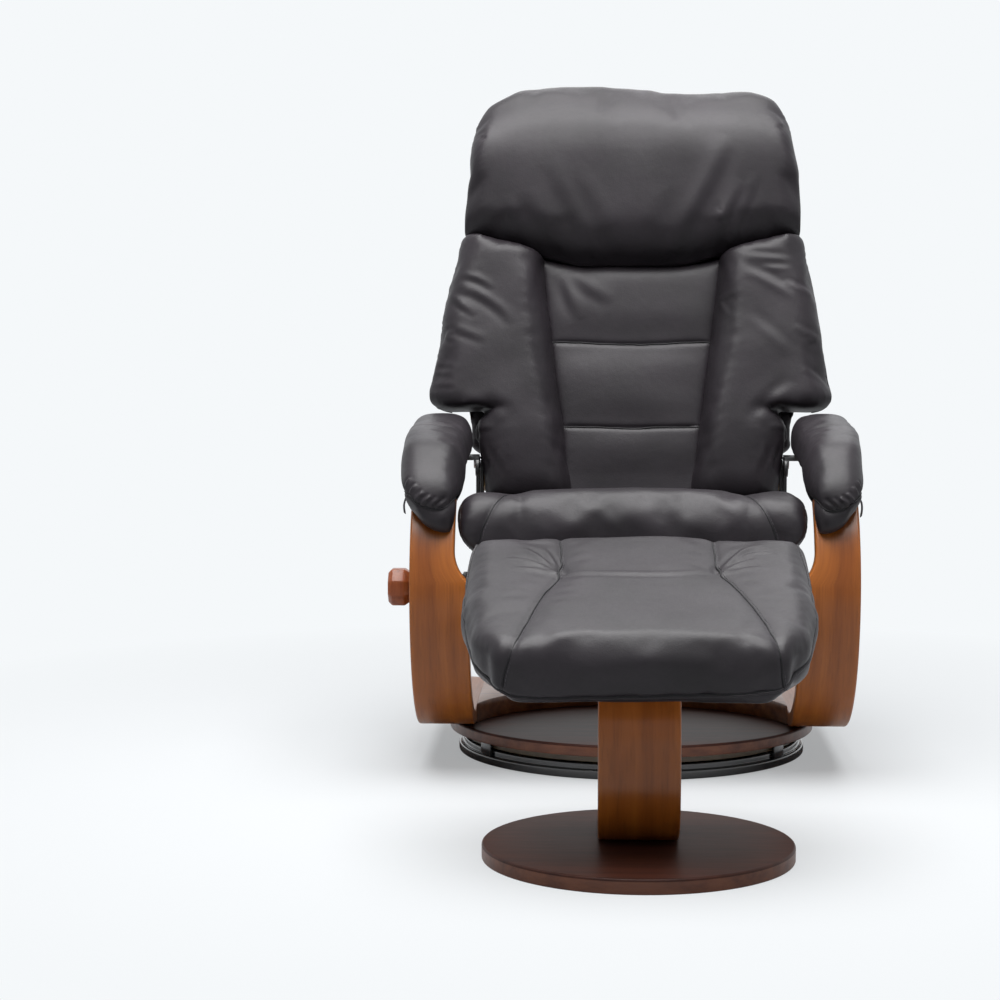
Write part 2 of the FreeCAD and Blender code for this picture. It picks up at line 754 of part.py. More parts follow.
def bracket_screws_right():
    """Screws of one bracket: two through the front flange, two up into the arm's top run."""
    screws = []
    bow_z = DISC_TOP_Z + ARM_LOW_R
    length = BRACKET_T + ARM_T / 2
    y = bracket_front_y() + BRACKET_T
    x = (ARM_TOP_IN_X + BRACKET_IN_X + FRONT_FLANGE_W) / 2
    for z in (bow_z - FRONT_FLANGE_H / 4, bow_z + FRONT_FLANGE_H / 4):
        screws.append(small_screw(vec(x, y, z), vec(0, -1, 0), length))
    rise = math.radians(ARM_RISE)
    up = vec(0, -math.sin(rise), math.cos(rise))
    x = (ARM_TOP_IN_X + BRACKET_IN_X + TOP_FLANGE_W) / 2
    for share in (0.3, 0.7):
        y = ARM_TOP_END_Y - TOP_FLANGE_L * share
        z = top_run_z(ARM_SPEC, y, ARM_T) - BRACKET_T / math.cos(rise)
        screws.append(small_screw(vec(x, y, z), up, length))
    return screws


def guide_neck(y):
    """Six-sided neck of a guide bolt, which keeps it from turning in the bracket."""
    return sided_bar(GUIDE_PIN_R, vec(BRACKET_IN_X, y, GUIDE_Z), vec(BRACKET_T, 0, 0))


def guide_bolt(y):
    """Stepped bolt fixed in the bracket; the seat bar slides between its shoulder and its end."""
    shoulder_x = SEAT_BAR_OUT_X + SIDE_PLAY
    end_x = SEAT_BAR_IN_X - SIDE_PLAY
    shank = rod(GUIDE_PIN_R, end_x, shoulder_x, y, GUIDE_Z)
    shoulder = sided_bar(GUIDE_HEAD_R, vec(shoulder_x, y, GUIDE_Z), vec(BRACKET_IN_X - shoulder_x, 0, 0))
    head = sided_bar(GUIDE_HEAD_R, vec(BRACKET_OUT_X, y, GUIDE_Z), vec(GUIDE_HEAD_T, 0, 0))
    end = sided_bar(GUIDE_HEAD_R, vec(end_x, y, GUIDE_Z), vec(-GUIDE_HEAD_T, 0, 0))
    return shank.fuse([shoulder, guide_neck(y), head, end])


def guide_bolts():
    bolts = []
    for y in (GUIDE_FRONT_Y, GUIDE_REAR_Y):
        bolts += both_sides(guide_bolt(y))
    return group(bolts)


def seat_slot(y, longer):
    """Tool for the slot of a guide bolt at y, made longer at both ends for a square nut."""
    radius = GUIDE_PIN_R + SLOT_PLAY
    return slot_along_y(radius, y - RUN_CLEAR - longer, y + SEAT_TRAVEL + DRIVE_PLAY + longer, GUIDE_Z,
                        SEAT_BAR_IN_X, SEAT_BAR_OUT_X)


def seat_bar_screws_right():
    screws = []
    z = SEAT_RAIL_Z + SEAT_RAIL_H / 2 - SCREW_HEAD_R
    for share in (0.12, 0.5, 0.88):
        y = blend(SEAT_BAR_FRONT_Y, SEAT_FRAME_REAR_Y, share)
        screws.append(small_screw(vec(SEAT_BAR_OUT_X, y, z), vec(-1, 0, 0), BAR_T + SEAT_RAIL_T * 0.7))
    return screws


def seat_bar(with_stud):
    """Slotted steel bar: slides on the guide bolts, pushed by the drive pin in its ear."""
    x0, x1 = SEAT_BAR_IN_X, SEAT_BAR_OUT_X
    ear_y0 = PIVOT_Y - SEAT_EAR_W / 2
    ear_y1 = PIVOT_Y + SEAT_EAR_W / 2
    bar = box(x0, x1, SEAT_BAR_FRONT_Y, ear_y1, SEAT_BAR_Z, SEAT_BAR_Z + SEAT_BAR_H)
    ear = slot_along_z(SEAT_EAR_W / 2, SEAT_BAR_Z + SEAT_EAR_W / 2, DRIVE_Z + DRIVE_LIFT / 2,
                       PIVOT_Y, x0, x1)
    bar = bar.fuse(ear)
    bar = bar.cut(box(x0, x1, ear_y0 + SEAT_EAR_W, ear_y1 + OVERRUN, SEAT_BAR_Z, DRIVE_Z))
    for y in (GUIDE_FRONT_Y, GUIDE_REAR_Y):
        bar = bar.cut(seat_slot(y, 0))
    if with_stud:
        bar = bar.cut(seat_slot(KNOB_Y, GUIDE_PIN_R))
    bar = bar.cut(slot_along_z(DRIVE_PIN_R + DRIVE_PLAY, DRIVE_Z, DRIVE_Z + DRIVE_LIFT, PIVOT_Y, x0, x1))
    for screw in seat_bar_screws_right():
        bar = bar.cut(screw)
    return bar.removeSplitter()


def clamp_nut():
    """Nut of the knob's stud, kept from turning by the slot's flats, with a wide inner plate."""
    half = GUIDE_PIN_R + SLOT_PLAY - RUN_CLEAR
    in_x = -SEAT_BAR_IN_X + SIDE_PLAY
    block = box(-SEAT_BAR_OUT_X, in_x, KNOB_Y - half, KNOB_Y + half, GUIDE_Z - half, GUIDE_Z + half)
    plate = box(in_x, in_x + GUIDE_HEAD_T, KNOB_Y - GUIDE_HEAD_R, KNOB_Y + GUIDE_HEAD_R,
                GUIDE_Z - GUIDE_HEAD_R, GUIDE_Z + GUIDE_HEAD_R)
    bore = rod(STUD_R / 2 + RUN_CLEAR, -BRACKET_OUT_X, in_x + 2 * GUIDE_HEAD_T, KNOB_Y, GUIDE_Z)
    return block.fuse(plate).removeSplitter().cut(bore)


def knob_stud():
    """Stepped stud from the knob through the bracket into the clamp nut."""
    x_knob = -KNOB_IN_X - STUD_IN_KNOB
    thick = rod(STUD_R, x_knob, -SEAT_BAR_OUT_X - SIDE_PLAY, KNOB_Y, GUIDE_Z)
    thin = rod(STUD_R / 2, -SEAT_BAR_OUT_X - SIDE_PLAY, -SEAT_BAR_IN_X + GUIDE_HEAD_T, KNOB_Y, GUIDE_Z)
    collar_x = -BRACKET_OUT_X - SIDE_PLAY
    collar = sided_bar(STUD_COLLAR_R, vec(collar_x, KNOB_Y, GUIDE_Z), vec(-STUD_COLLAR_T, 0, 0))
    return thick.fuse(thin).fuse(collar).removeSplitter()


def faceted(rings):
    """Solid with flat faces between closed rings of as many corners."""
    faces = [Part.Face(Part.makePolygon(ring + ring[:1])) for ring in (rings[0], rings[-1])]
    for low, high in zip(rings, rings[1:]):
        for i in range(len(low)):
            j = (i + 1) % len(low)
            faces.append(Part.Face(Part.makePolygon([low[i], low[j], high[j], high[i], low[i]])))
    solid = Part.Solid(Part.Shell(faces))
    solid.fix(TINY / 100, TINY / 100, TINY / 100)
    return solid


def tension_knob():
    """Faceted wooden knob, bevelled on both faces."""
    stations = [
        (KNOB_R - KNOB_BEVEL, KNOB_IN_X),
        (KNOB_R, KNOB_IN_X + KNOB_BEVEL * 1.4),
        (KNOB_R, KNOB_IN_X + KNOB_T - KNOB_BEVEL),
        (KNOB_R - KNOB_BEVEL, KNOB_IN_X + KNOB_T),
    ]
    rings = []
    for radius, x in stations:
        angles = [2 * math.pi * (i + 0.5) / KNOB_SIDES for i in range(KNOB_SIDES)]
        rings.append([
            vec(-x, KNOB_Y + radius * math.cos(angle), GUIDE_Z + radius * math.sin(angle))
            for angle in angles
        ])
    return faceted(rings).cut(knob_stud())


# Seat

def seat_rail_side():
    rail = box(SEAT_BAR_IN_X - SEAT_RAIL_T, SEAT_BAR_IN_X, SEAT_FRAME_FRONT_Y, SEAT_FRAME_REAR_Y,
               SEAT_RAIL_Z, SEAT_RAIL_Z + SEAT_RAIL_H)
    for screw in seat_bar_screws_right():
        rail = rail.cut(screw)
    return rail


def seat_rail_across(y0):
    half = SEAT_BAR_IN_X - SEAT_RAIL_T
    return box(-half, half, y0, y0 + SEAT_RAIL_T, SEAT_RAIL_Z, SEAT_RAIL_Z + SEAT_RAIL_H)


def seat_webbing():
    z = SEAT_RAIL_Z + SEAT_RAIL_H
    pitch = (SEAT_FRAME_REAR_Y - SEAT_FRAME_FRONT_Y) / (SEAT_WEB_COUNT + 0.5)
    straps = []
    for i in range(SEAT_WEB_COUNT):
        y = SEAT_FRAME_FRONT_Y + pitch * (i + 0.75)
        straps.append(box(-SEAT_BAR_IN_X, SEAT_BAR_IN_X, y - WEB_W / 2, y + WEB_W / 2, z, z + WEB_T))
    return group(straps)


def seat_dust_cover():
    return box(-SEAT_BAR_IN_X + TINY, SEAT_BAR_IN_X - TINY, SEAT_FRAME_FRONT_Y, SEAT_FRAME_REAR_Y,
               SEAT_RAIL_Z - DUST_COVER_T, SEAT_RAIL_Z)


def seat_section(x, shrink, rise):
    """Side view of the seat cushion: front roll, crown and rear, drawn in by shrink."""
    y0 = SEAT_FRONT_Y + shrink
    y1 = SEAT_REAR_Y
    z0 = SEAT_CUSHION_Z
    top = SEAT_TOP_Z - shrink + rise
    rear = SEAT_REAR_Z - shrink + rise
    roll, foot = SEAT_ROLL_R, SEAT_FOOT_R
    middle_y = (y0 + roll + y1) / 2
    half = 1 - math.sqrt(0.5)
    edges = []
    for points in [
        [(y0 + foot, z0), (y0 + foot * half, z0 + foot * half), (y0, z0 + foot)],
        [(y0, z0 + foot), (y0, top - roll)],
        [(y0, top - roll), (y0 + roll * half, top - roll * half), (y0 + roll, top)],
        [(y0 + roll, top), (middle_y, (top + rear) / 2 + SEAT_CROWN / 2)],
        [(middle_y, (top + rear) / 2 + SEAT_CROWN / 2), (y1, rear)],
        [(y1, rear), (y1, z0)],
        [(y1, z0), (y0 + foot, z0)],
    ]:
        at = [vec(x, y, z) for y, z in points]
        edges.append(line(*at) if len(at) == 2 else arc(*at))
    return Part.Wire(edges)


def seat_cushion():
    """Crowned cushion with a rolled front, drawn-in sides and two sewn seams across the roll."""
    stations = [(SEAT_HALF_W - inset, drop, 0) for inset, drop in edge_rounds(SEAT_EDGE_R, 3)]
    stations.append((SEAT_SEAM_X + SEAT_SEAM_W, 0, 0))
    stations.append((SEAT_SEAM_X, SEAT_SEAM_DEPTH, 0))
    stations.append((SEAT_SEAM_X - SEAT_SEAM_W, 0, 0))
    right = [seat_section(x, shrink, rise) for x, shrink, rise in stations]
    left = [seat_section(-x, shrink, rise) for x, shrink, rise in stations]
    return loft(left + [seat_section(0, 0, SEAT_CROWN)] + right[::-1])


# Back, built upright around x = 0 and then leaned

def leaned(shape):
    shape.Placement = FreeCAD.Placement(
        vec(0, BACK_FOOT_Y, BACK_FOOT_Z), FreeCAD.Rotation(vec(1, 0, 0), -BACK_LEAN))
    return shape


def unleaned(shape):
    """The shape moved from the chair's frame into the back's own frame."""
    placement = FreeCAD.Placement(
        vec(0, BACK_FOOT_Y, BACK_FOOT_Z), FreeCAD.Rotation(vec(1, 0, 0), -BACK_LEAN))
    shape.Placement = placement.inverse()
    return shape


def to_back(y, z):
    """Depth and height in the back's own frame of a point (y, z) of the chair."""
    lean = math.radians(BACK_LEAN)
    dy = y - BACK_FOOT_Y
    dz = z - BACK_FOOT_Z
    return dy * math.cos(lean) - dz * math.sin(lean), dy * math.sin(lean) + dz * math.cos(lean)


POST_FRONT = CUSHION_BACK + WEB_T + SOFT_CLEAR


def back_bar_screws_right():
    screws = []
    depth = POST_FRONT + POST_T / 2
    for share in (0.45, 0.7, 0.95):
        height = BACK_BAR_TOP * share
        place = vec(BACK_BAR_OUT_X, depth, height)
        screws.append(small_screw(place, vec(-1, 0, 0), BAR_T + POST_W * 0.6))
    return screws


def back_post():
    post = box(BACK_BAR_IN_X - POST_W, BACK_BAR_IN_X, POST_FRONT, POST_FRONT + POST_T,
               POST_FOOT, POST_TOP)
    for screw in back_bar_screws_right():
        post = post.cut(screw)
    return post


def back_rail(height):
    half = BACK_BAR_IN_X - POST_W
    return box(-half, half, POST_FRONT, POST_FRONT + POST_T, height, height + BACK_RAIL_H)


def back_webbing():
    straps = []
    pitch = (POST_TOP - POST_FOOT) / BACK_WEB_COUNT
    for i in range(BACK_WEB_COUNT):
        height = POST_FOOT + pitch * (i + 0.5)
        straps.append(box(-BACK_BAR_IN_X, BACK_BAR_IN_X, POST_FRONT - WEB_T, POST_FRONT,
                          height - WEB_W / 2, height + WEB_W / 2))
    return group(straps)


def back_bar():
    """Cranked steel bar from the drive pin, past the pivot, up the side of the post."""
    x0, x1 = BACK_BAR_IN_X, BACK_BAR_OUT_X
    radius = BACK_BAR_W / 2
    pivot = to_back(PIVOT_Y, PIVOT_Z)
    drive = to_back(PIVOT_Y, DRIVE_Z)
    knee = (POST_FRONT + POST_T / 2, pivot[1] + 2 * BACK_BAR_W)
    top = (POST_FRONT + POST_T / 2, BACK_BAR_TOP)
    bar = link_plate(drive, pivot, radius, x0, x1)
    bar = bar.fuse(link_plate(pivot, knee, radius, x0, x1))
    bar = bar.fuse(link_plate(knee, top, radius, x0, x1))
    bar = bar.cut(unleaned(pivot_neck())).cut(unleaned(drive_neck()))
    for screw in back_bar_screws_right():
        bar = bar.cut(screw)
    return bar.removeSplitter()


def pivot_neck():
    """Six-sided neck of the pivot bolt, fixed in the back bar."""
    return sided_bar(PIVOT_R, vec(BACK_BAR_IN_X, PIVOT_Y, PIVOT_Z), vec(BAR_T, 0, 0))


def pivot_bolt():
    """Bolt that turns in the bracket: neck in the back bar, washer between, head outside."""
    head_x = BRACKET_OUT_X + RUN_CLEAR
    washer = rod(PIVOT_HEAD_R, BACK_BAR_OUT_X, BRACKET_IN_X - RUN_CLEAR, PIVOT_Y, PIVOT_Z)
    shank = rod(PIVOT_R, BRACKET_IN_X - RUN_CLEAR, head_x, PIVOT_Y, PIVOT_Z)
    head = rod(PIVOT_HEAD_R, head_x, head_x + GUIDE_HEAD_T, PIVOT_Y, PIVOT_Z)
    return pivot_neck().fuse([washer, shank, head])


def drive_neck():
    """Six-sided neck of the drive pin, fixed in the back bar."""
    return sided_bar(DRIVE_PIN_R, vec(BACK_BAR_IN_X, PIVOT_Y, DRIVE_Z), vec(BAR_T, 0, 0))


def drive_pin():
    end_x = SEAT_BAR_IN_X - SIDE_PLAY
    shank = rod(DRIVE_PIN_R, end_x, BACK_BAR_IN_X, PIVOT_Y, DRIVE_Z)
    end = sided_bar(GUIDE_HEAD_R, vec(end_x, PIVOT_Y, DRIVE_Z), vec(-GUIDE_HEAD_T, 0, 0))
    return shank.fuse([end, drive_neck()])


def plan(height, edges_points):
    """Closed section at a height; each entry is a list of 2 (line) or 3 (arc) points (x, depth)."""
    edges = []
    for points in edges_points:
        at = [vec(x, depth, height) for x, depth in points]
        edges.append(line(*at) if len(at) == 2 else arc(*at))
    return Part.Wire(edges)


def panel_half(height):
    return blend(PANEL_HALF_FOOT, PANEL_HALF_TOP, height / PANEL_TOP)


def panel_section(height, crown):
    half = panel_half(height)
    back = CUSHION_BACK
    return plan(height, [
        [(-half, back), (half, back)],
        [(half, back), (half, -crown * 0.3)],
        [(half, -crown * 0.3), (0, -crown), (-half, -crown * 0.3)],
        [(-half, -crown * 0.3), (-half, back)],
    ])


def back_centre_cushion():
    """Three sewn pillows, one above the other, between the side bolsters."""
    bounds = [0.0] + list(PANEL_SEAMS) + [PANEL_TOP]
    panel = None
    for low, high in zip(bounds, bounds[1:]):
        pillow = loft([
            panel_section(blend(low, high, share), PANEL_CROWN * math.sin(math.pi * (share + 0.04) / 1.08))
            for share in (0, 0.1, 0.3, 0.7, 0.9, 1)
        ])
        panel = pillow if panel is None else panel.fuse(pillow)
    return panel.cut(above_fold())


def bolster_section(height, x_out, crown, slope=0.0):
    """Plan of a side bolster from the panel's border to x_out, in a plane that rises by slope."""
    x_in = panel_half(height) + SOFT_CLEAR
    inner, outer = x_in + WING_INNER_ROUND, x_out - WING_OUTER_ROUND
    back = CUSHION_BACK
    half = math.sqrt(0.5)
    outline = [
        [(x_in, back), (x_in, 0)],
        [(x_in, 0), (inner - WING_INNER_ROUND * half, -crown * half), (inner, -crown)],
        [(inner, -crown), (outer, -crown)],
        [(outer, -crown), (outer + WING_OUTER_ROUND * half, -crown * half), (x_out, 0)],
        [(x_out, 0), (x_out - WING_BACK_STEP, back)],
        [(x_out - WING_BACK_STEP, back), (x_in, back)],
    ]
    edges = []
    for points in outline:
        at = [vec(x, depth, height + slope * (x - x_in)) for x, depth in points]
        edges.append(line(*at) if len(at) == 2 else arc(*at))
    return Part.Wire(edges)


def back_wing():
    """Side bolster: narrow between the arms, wide above them, narrowing up to the headrest."""
    foot = [
        bolster_section(inset, LOWER_BACK_HALF_W, WING_CROWN - drop)
        for inset, drop in edge_rounds(WING_EDGE_R, 2)
    ]
    foot.append(bolster_section(WING_START, LOWER_BACK_HALF_W, WING_CROWN))
    rounds = edge_rounds(WING_WIDE - WING_START, 2)
    first_inset = rounds[0][0]
    wing = [
        bolster_section(WING_START + inset - first_inset, WING_HALF_W - drop, WING_CROWN)
        for inset, drop in rounds
    ]
    wing.append(bolster_section(WING_WIDE, WING_HALF_W, WING_CROWN))
    top = fold_height(PANEL_HALF_TOP) - SOFT_CLEAR
    wing.append(bolster_section(top, HEAD_HALF_W, WING_CROWN, fold_slope()))
    return loft(foot).fuse(loft(wing))


def head_section(x, low, top, bulge, front):
    """Side view of the headrest: flat back, round top, front swelling to a bulge at the fold."""
    back = CUSHION_BACK
    shoulder = top - HEAD_TOP_ROUND
    half = math.sqrt(0.5)
    edges = []
    for points in [
        [(back, low), (back, shoulder)],
        [(back, shoulder), ((back - front) / 2, top), (-front, shoulder)],
        [(-front, shoulder), (-bulge, low + HEAD_LOW_ROUND)],
        [(-bulge, low + HEAD_LOW_ROUND),
         (-bulge + HEAD_LOW_ROUND * (1 - half), low + HEAD_LOW_ROUND * (1 - half)),
         (-bulge + HEAD_LOW_ROUND, low)],
        [(-bulge + HEAD_LOW_ROUND, low), (back, low)],
    ]:
        at = [vec(x, depth, height) for depth, height in points]
        edges.append(line(*at) if len(at) == 2 else arc(*at))
    return Part.Wire(edges)


def head_stations():
    """Pairs (x, drop) from the rounded side of the headrest to its middle."""
    rounded = [(HEAD_HALF_W - inset, drop) for inset, drop in edge_rounds(HEAD_EDGE_R, 3)]
    return rounded + [(PANEL_HALF_TOP, 0), (HEAD_LEVEL_X, 0), (0, 0)]


def fold_slope():
    return (HEAD_SIDE_FOLD - HEAD_FOLD) / (HEAD_HALF_W - HEAD_LEVEL_X)


def fold_height(x):
    """Height of the headrest's lower edge: level in the middle, then rising to the sides."""
    return HEAD_FOLD + fold_slope() * max(0, x - HEAD_LEVEL_X)


def above_fold():
    """Tool that trims the centre panel along the headrest's lower edge."""
    across = [(x, fold_height(abs(x)) - SOFT_CLEAR)
              for x in (-WING_HALF_W, -HEAD_LEVEL_X, HEAD_LEVEL_X, WING_HALF_W)]
    across += [(WING_HALF_W, BACK_HEIGHT), (-WING_HALF_W, BACK_HEIGHT)]
    corners = [vec(x, -2 * HEAD_BULGE, z) for x, z in across]
    return Part.Face(Part.makePolygon(corners + corners[:1])).extrude(vec(0, 4 * HEAD_BULGE, 0))


def headrest_cushion():
    """Pillow across the top of the back; its lower edge sags in the middle."""
    sections = []
    for x, drop in head_stations():
        sag = 1 - (x / HEAD_HALF_W) ** 2
        bulge = blend(HEAD_SIDE_BULGE, HEAD_BULGE, sag) - drop
        sections.append((x, fold_height(x), BACK_HEIGHT - drop, bulge, HEAD_TOP_FRONT - drop * 0.5))
    right = [head_section(*section) for section in sections]
    left = [head_section(-x, *rest) for x, *rest in sections[:-1]]
    return loft(left + right[::-1])


def cover_section(height, half, depth, crown):
    front = CUSHION_BACK + SOFT_CLEAR
    corner = COVER_CORNER
    quarter = corner * (1 - math.sqrt(0.5))
    return plan(height, [
        [(-half, front), (-half, depth - corner)],
        [(-half, depth - corner), (-half + quarter, depth - quarter), (-half + corner, depth)],
        [(-half + corner, depth), (0, depth + crown), (half - corner, depth)],
        [(half - corner, depth), (half - quarter, depth - quarter), (half, depth - corner)],
        [(half, depth - corner), (half, front)],
        [(half, front), (-half, front)],
    ])


def back_rear_cover():
    """Upholstered shell behind the frame, with padded side walls above the arms."""
    inner = BACK_BAR_OUT_X + COVER_WALL_CLEAR
    low = loft([
        cover_section(-COVER_FOOT, LOWER_BACK_HALF_W - COVER_EDGE / 2, COVER_DEPTH, COVER_CROWN),
        cover_section(COVER_EDGE, LOWER_BACK_HALF_W, COVER_DEPTH, COVER_CROWN),
        cover_section(WING_START + TINY, LOWER_BACK_HALF_W, COVER_DEPTH, COVER_CROWN),
    ])
    high = loft([
        cover_section(WING_START, COVER_HALF_W - COVER_EDGE / 2, COVER_DEPTH - SOFT_CLEAR, COVER_CROWN),
        cover_section(WING_START + COVER_EDGE, COVER_HALF_W, COVER_DEPTH, COVER_CROWN),
        cover_section(BACK_HEIGHT - 3 * COVER_EDGE, COVER_HALF_W, COVER_DEPTH, COVER_CROWN),
        cover_section(BACK_HEIGHT - COVER_TOP_DROP, COVER_HALF_W - COVER_EDGE,
                      COVER_DEPTH - COVER_EDGE, COVER_CROWN),
    ])
    cavity = box(-inner, inner, 0, POST_FRONT + POST_T + SOFT_CLEAR, -OVERRUN, POST_TOP + OVERRUN)
    return low.fuse(high).removeSplitter().cut(cavity)


# Ottoman, its top built flat on the stand's top run and then tilted

def tilted(shape):
    shape.Placement = FreeCAD.Placement(
        vec(0, OTTOMAN_Y, top_run_z(STAND_SPEC, OTTOMAN_Y, 0)),
        FreeCAD.Rotation(vec(1, 0, 0), OTTOMAN_TILT))
    return shape


def ottoman_bolt_places():
    y = OTTOMAN_Y + OTTOMAN_DISC_R * 0.4
    return [(-STAND_W / 4, y), (STAND_W / 4, y)]


def ottoman_disc_bolts():
    """Bolts up through the disc into the stand, their heads sunk in holes from below."""
    length = OTTOMAN_DISC_T - 2 * BOLT_HEAD_T + BOLT_BITE
    return [
        large_bolt(vec(x, y, 2 * BOLT_HEAD_T), vec(0, 0, 1), length)
        for x, y in ottoman_bolt_places()
    ]


def board_bolts_flat():
    """Bolts from under the stand's top run up into the pad board, in the tilted frame."""
    bolts = []
    for x in (-STAND_W / 4, STAND_W / 4):
        for y in (STAND_W / 3, STAND_W):
            place = vec(x, y, -STAND_T)
            bolts.append(large_bolt(place, vec(0, 0, 1), STAND_T + OTTOMAN_BOARD_T * 0.8))
    return bolts


def ottoman_disc():
    disc = rounded_disc(OTTOMAN_DISC_R, OTTOMAN_Y, 0, OTTOMAN_DISC_T)
    for bolt in ottoman_disc_bolts():
        disc = disc.cut(bolt)
    for x, y in ottoman_bolt_places():
        disc = disc.cut(sided_bar(BOLT_HEAD_R, vec(x, y, 0), vec(0, 0, 2 * BOLT_HEAD_T)))
    return disc


def ottoman_post():
    strip = c_strip(STAND_SPEC, STAND_T, -STAND_W / 2, STAND_W / 2)
    for bolt in ottoman_disc_bolts():
        strip = strip.cut(bolt)
    for bolt in board_bolts_flat():
        strip = strip.cut(tilted(bolt))
    return strip


def board_outline():
    margin = OTTOMAN_BOARD_MARGIN
    return -OTTOMAN_FRONT + margin, OTTOMAN_REAR - margin


def pad_board_flat():
    y0, y1 = board_outline()
    half = OTTOMAN_BOARD_HALF_W
    board = box(-half, half, y0, y1, 0, OTTOMAN_BOARD_T)
    corners = [e for e in board.Edges if e.BoundBox.ZLength > OTTOMAN_BOARD_T - TINY]
    board = board.makeFillet(OTTOMAN_BOARD_MARGIN, corners)
    for bolt in board_bolts_flat():
        board = board.cut(bolt)
    return board


def pillow_section(y, half, low, high, crown):
    """Section across the ottoman cushion: flat below, bevelled and rounded sides, crowned top."""
    corner = OTTOMAN_CORNER
    quarter = corner * (1 - math.sqrt(0.5))
    edges_points = [
        [(-half + corner, low), (half - corner, low)],
        [(half - corner, low), (half, low + corner)],
        [(half, low + corner), (half, high - corner)],
        [(half, high - corner), (half - quarter, high - quarter), (half - corner, high)],
        [(half - corner, high), (0, high + crown), (-half + corner, high)],
        [(-half + corner, high), (-half + quarter, high - quarter), (-half, high - corner)],
        [(-half, high - corner), (-half, low + corner)],
        [(-half, low + corner), (-half + corner, low)],
    ]
    edges = []
    for points in edges_points:
        at = [vec(x, y, z) for x, z in points]
        edges.append(line(*at) if len(at) == 2 else arc(*at))
    return Part.Wire(edges)


def ottoman_cushion():
    """Crowned cushion that narrows and rounds over at the front, on its board."""
    front, rear, height = -OTTOMAN_FRONT, OTTOMAN_REAR, OTTOMAN_CUSHION_H
    wide, narrow = OTTOMAN_HALF_W, OTTOMAN_FRONT_HALF_W
    crown = OTTOMAN_CROWN
    sections = [
        pillow_section(front + inset, narrow - drop * 0.5, 0, height - drop, crown)
        for inset, drop in edge_rounds(OTTOMAN_EDGE_R, 3)
    ]
    sections.append(pillow_section(front + OTTOMAN_EDGE_R * 2, blend(narrow, wide, 0.5), 0, height, crown))
    sections.append(pillow_section(0, wide, 0, height, crown))
    sections += [
        pillow_section(rear - inset, wide - drop * 0.5, 0, height - drop, crown)
        for inset, drop in edge_rounds(OTTOMAN_EDGE_R * 0.6, 3)[::-1]
    ]
    return loft(sections).cut(pad_board_flat()).cut(group(board_bolts_flat()))


def export(name, shape):
    shape.exportStep("parts/" + name + ".step")


def export_pair(name, right):
    export(name + "_right", right)
    export(name + "_left", mirrored(right))


def build():
    os.makedirs("parts", exist_ok=True)

    export("floor_ring", floor_ring())
    export("ring_spokes", ring_spokes())
    export("ring_guides", ring_guides())
    export("swivel_plate_lower", bearing_plate(LOWER_PLATE_Z, lower_plate_screws()))
    export("lower_plate_screws", group(lower_plate_screws()))
    export("glide_ring", glide_ring())

    export("swivel_plate_upper", bearing_plate(UPPER_PLATE_Z, upper_screws()))
    export("upper_plate_screws", group(upper_screws()))
    export("base_disc_lower", base_disc_lower())
    export("base_disc", base_disc())
    export("frame_bolts", group(frame_bolts()))
    export_pair("arm_frame", arm_frame())
    export("cross_board", cross_board())
    export("front_rail", front_rail())
    export("rail_dowels", group(rail_dowels()))
    export_pair("arm_pad", arm_pad())
    export("arm_pad_tabs", group(both_sides(arm_pad_tab())))
    export("side_bracket_right", side_bracket(False))
    export("side_bracket_left", mirrored(side_bracket(True)))
    screws = []
    for screw in bracket_screws_right():
        screws += both_sides(screw)
    export("bracket_screws", group(screws))
    export("guide_bolts", guide_bolts())
    export("clamp_nut", clamp_nut())

    export("tension_knob", tension_knob())
    export("knob_stud", knob_stud())

    export_pair("seat_rail", seat_rail_side())
    export("seat_rail_front", seat_rail_across(SEAT_FRAME_FRONT_Y))
    export("seat_rail_rear", seat_rail_across(SEAT_FRAME_REAR_Y - SEAT_RAIL_T))
    export("seat_webbing", seat_webbing())
    export("seat_dust_cover", seat_dust_cover())
    export("seat_cushion", seat_cushion())
    export("seat_bar_right", seat_bar(False))
    export("seat_bar_left", mirrored(seat_bar(True)))
    screws = []
    for screw in seat_bar_screws_right():
        screws += both_sides(screw)
    export("seat_bar_screws", group(screws))

    export("back_post_right", leaned(back_post()))
    export("back_post_left", leaned(mirrored(back_post())))
    export("back_rail_bottom", leaned(back_rail(POST_FOOT)))
    export("back_rail_middle", leaned(back_rail(BACK_MIDDLE_RAIL)))
    export("back_rail_top", leaned(back_rail(POST_TOP - BACK_RAIL_H)))
    export("back_webbing", leaned(back_webbing()))
    export("back_bar_right", leaned(back_bar()))
    export("back_bar_left", leaned(mirrored(back_bar())))
    screws = []
    for screw in back_bar_screws_right():
        screws += both_sides(screw)
    export("back_bar_screws", leaned(group(screws)))
    export("pivot_bolts", group(both_sides(pivot_bolt())))
    export("drive_pins", group(both_sides(drive_pin())))
    export("back_centre_cushion", leaned(back_centre_cushion()))
    export("back_wing_left", leaned(mirrored(back_wing())))
    export("back_wing_right", leaned(back_wing()))
    export("back_rear_cover", leaned(back_rear_cover()))
    export("headrest_cushion", leaned(headrest_cushion()))

    export("ottoman_disc", ottoman_disc())
    export("ottoman_post", ottoman_post())
    export("ottoman_pad_board", tilted(pad_board_flat()))
    export("ottoman_cushion", tilted(ottoman_cushion()))
    board_bolts = [tilted(bolt) for bolt in board_bolts_flat()]
    export("ottoman_bolts", group(ottoman_disc_bolts() + board_bolts))


build()
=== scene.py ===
"""Recliner with ottoman: cushions, bentwood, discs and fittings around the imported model."""
import logging
import math
from dataclasses import dataclass
from enum import Enum
from typing import Callable

import bmesh
import bpy
import numpy as np
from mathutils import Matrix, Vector, noise
from mathutils.bvhtree import BVHTree


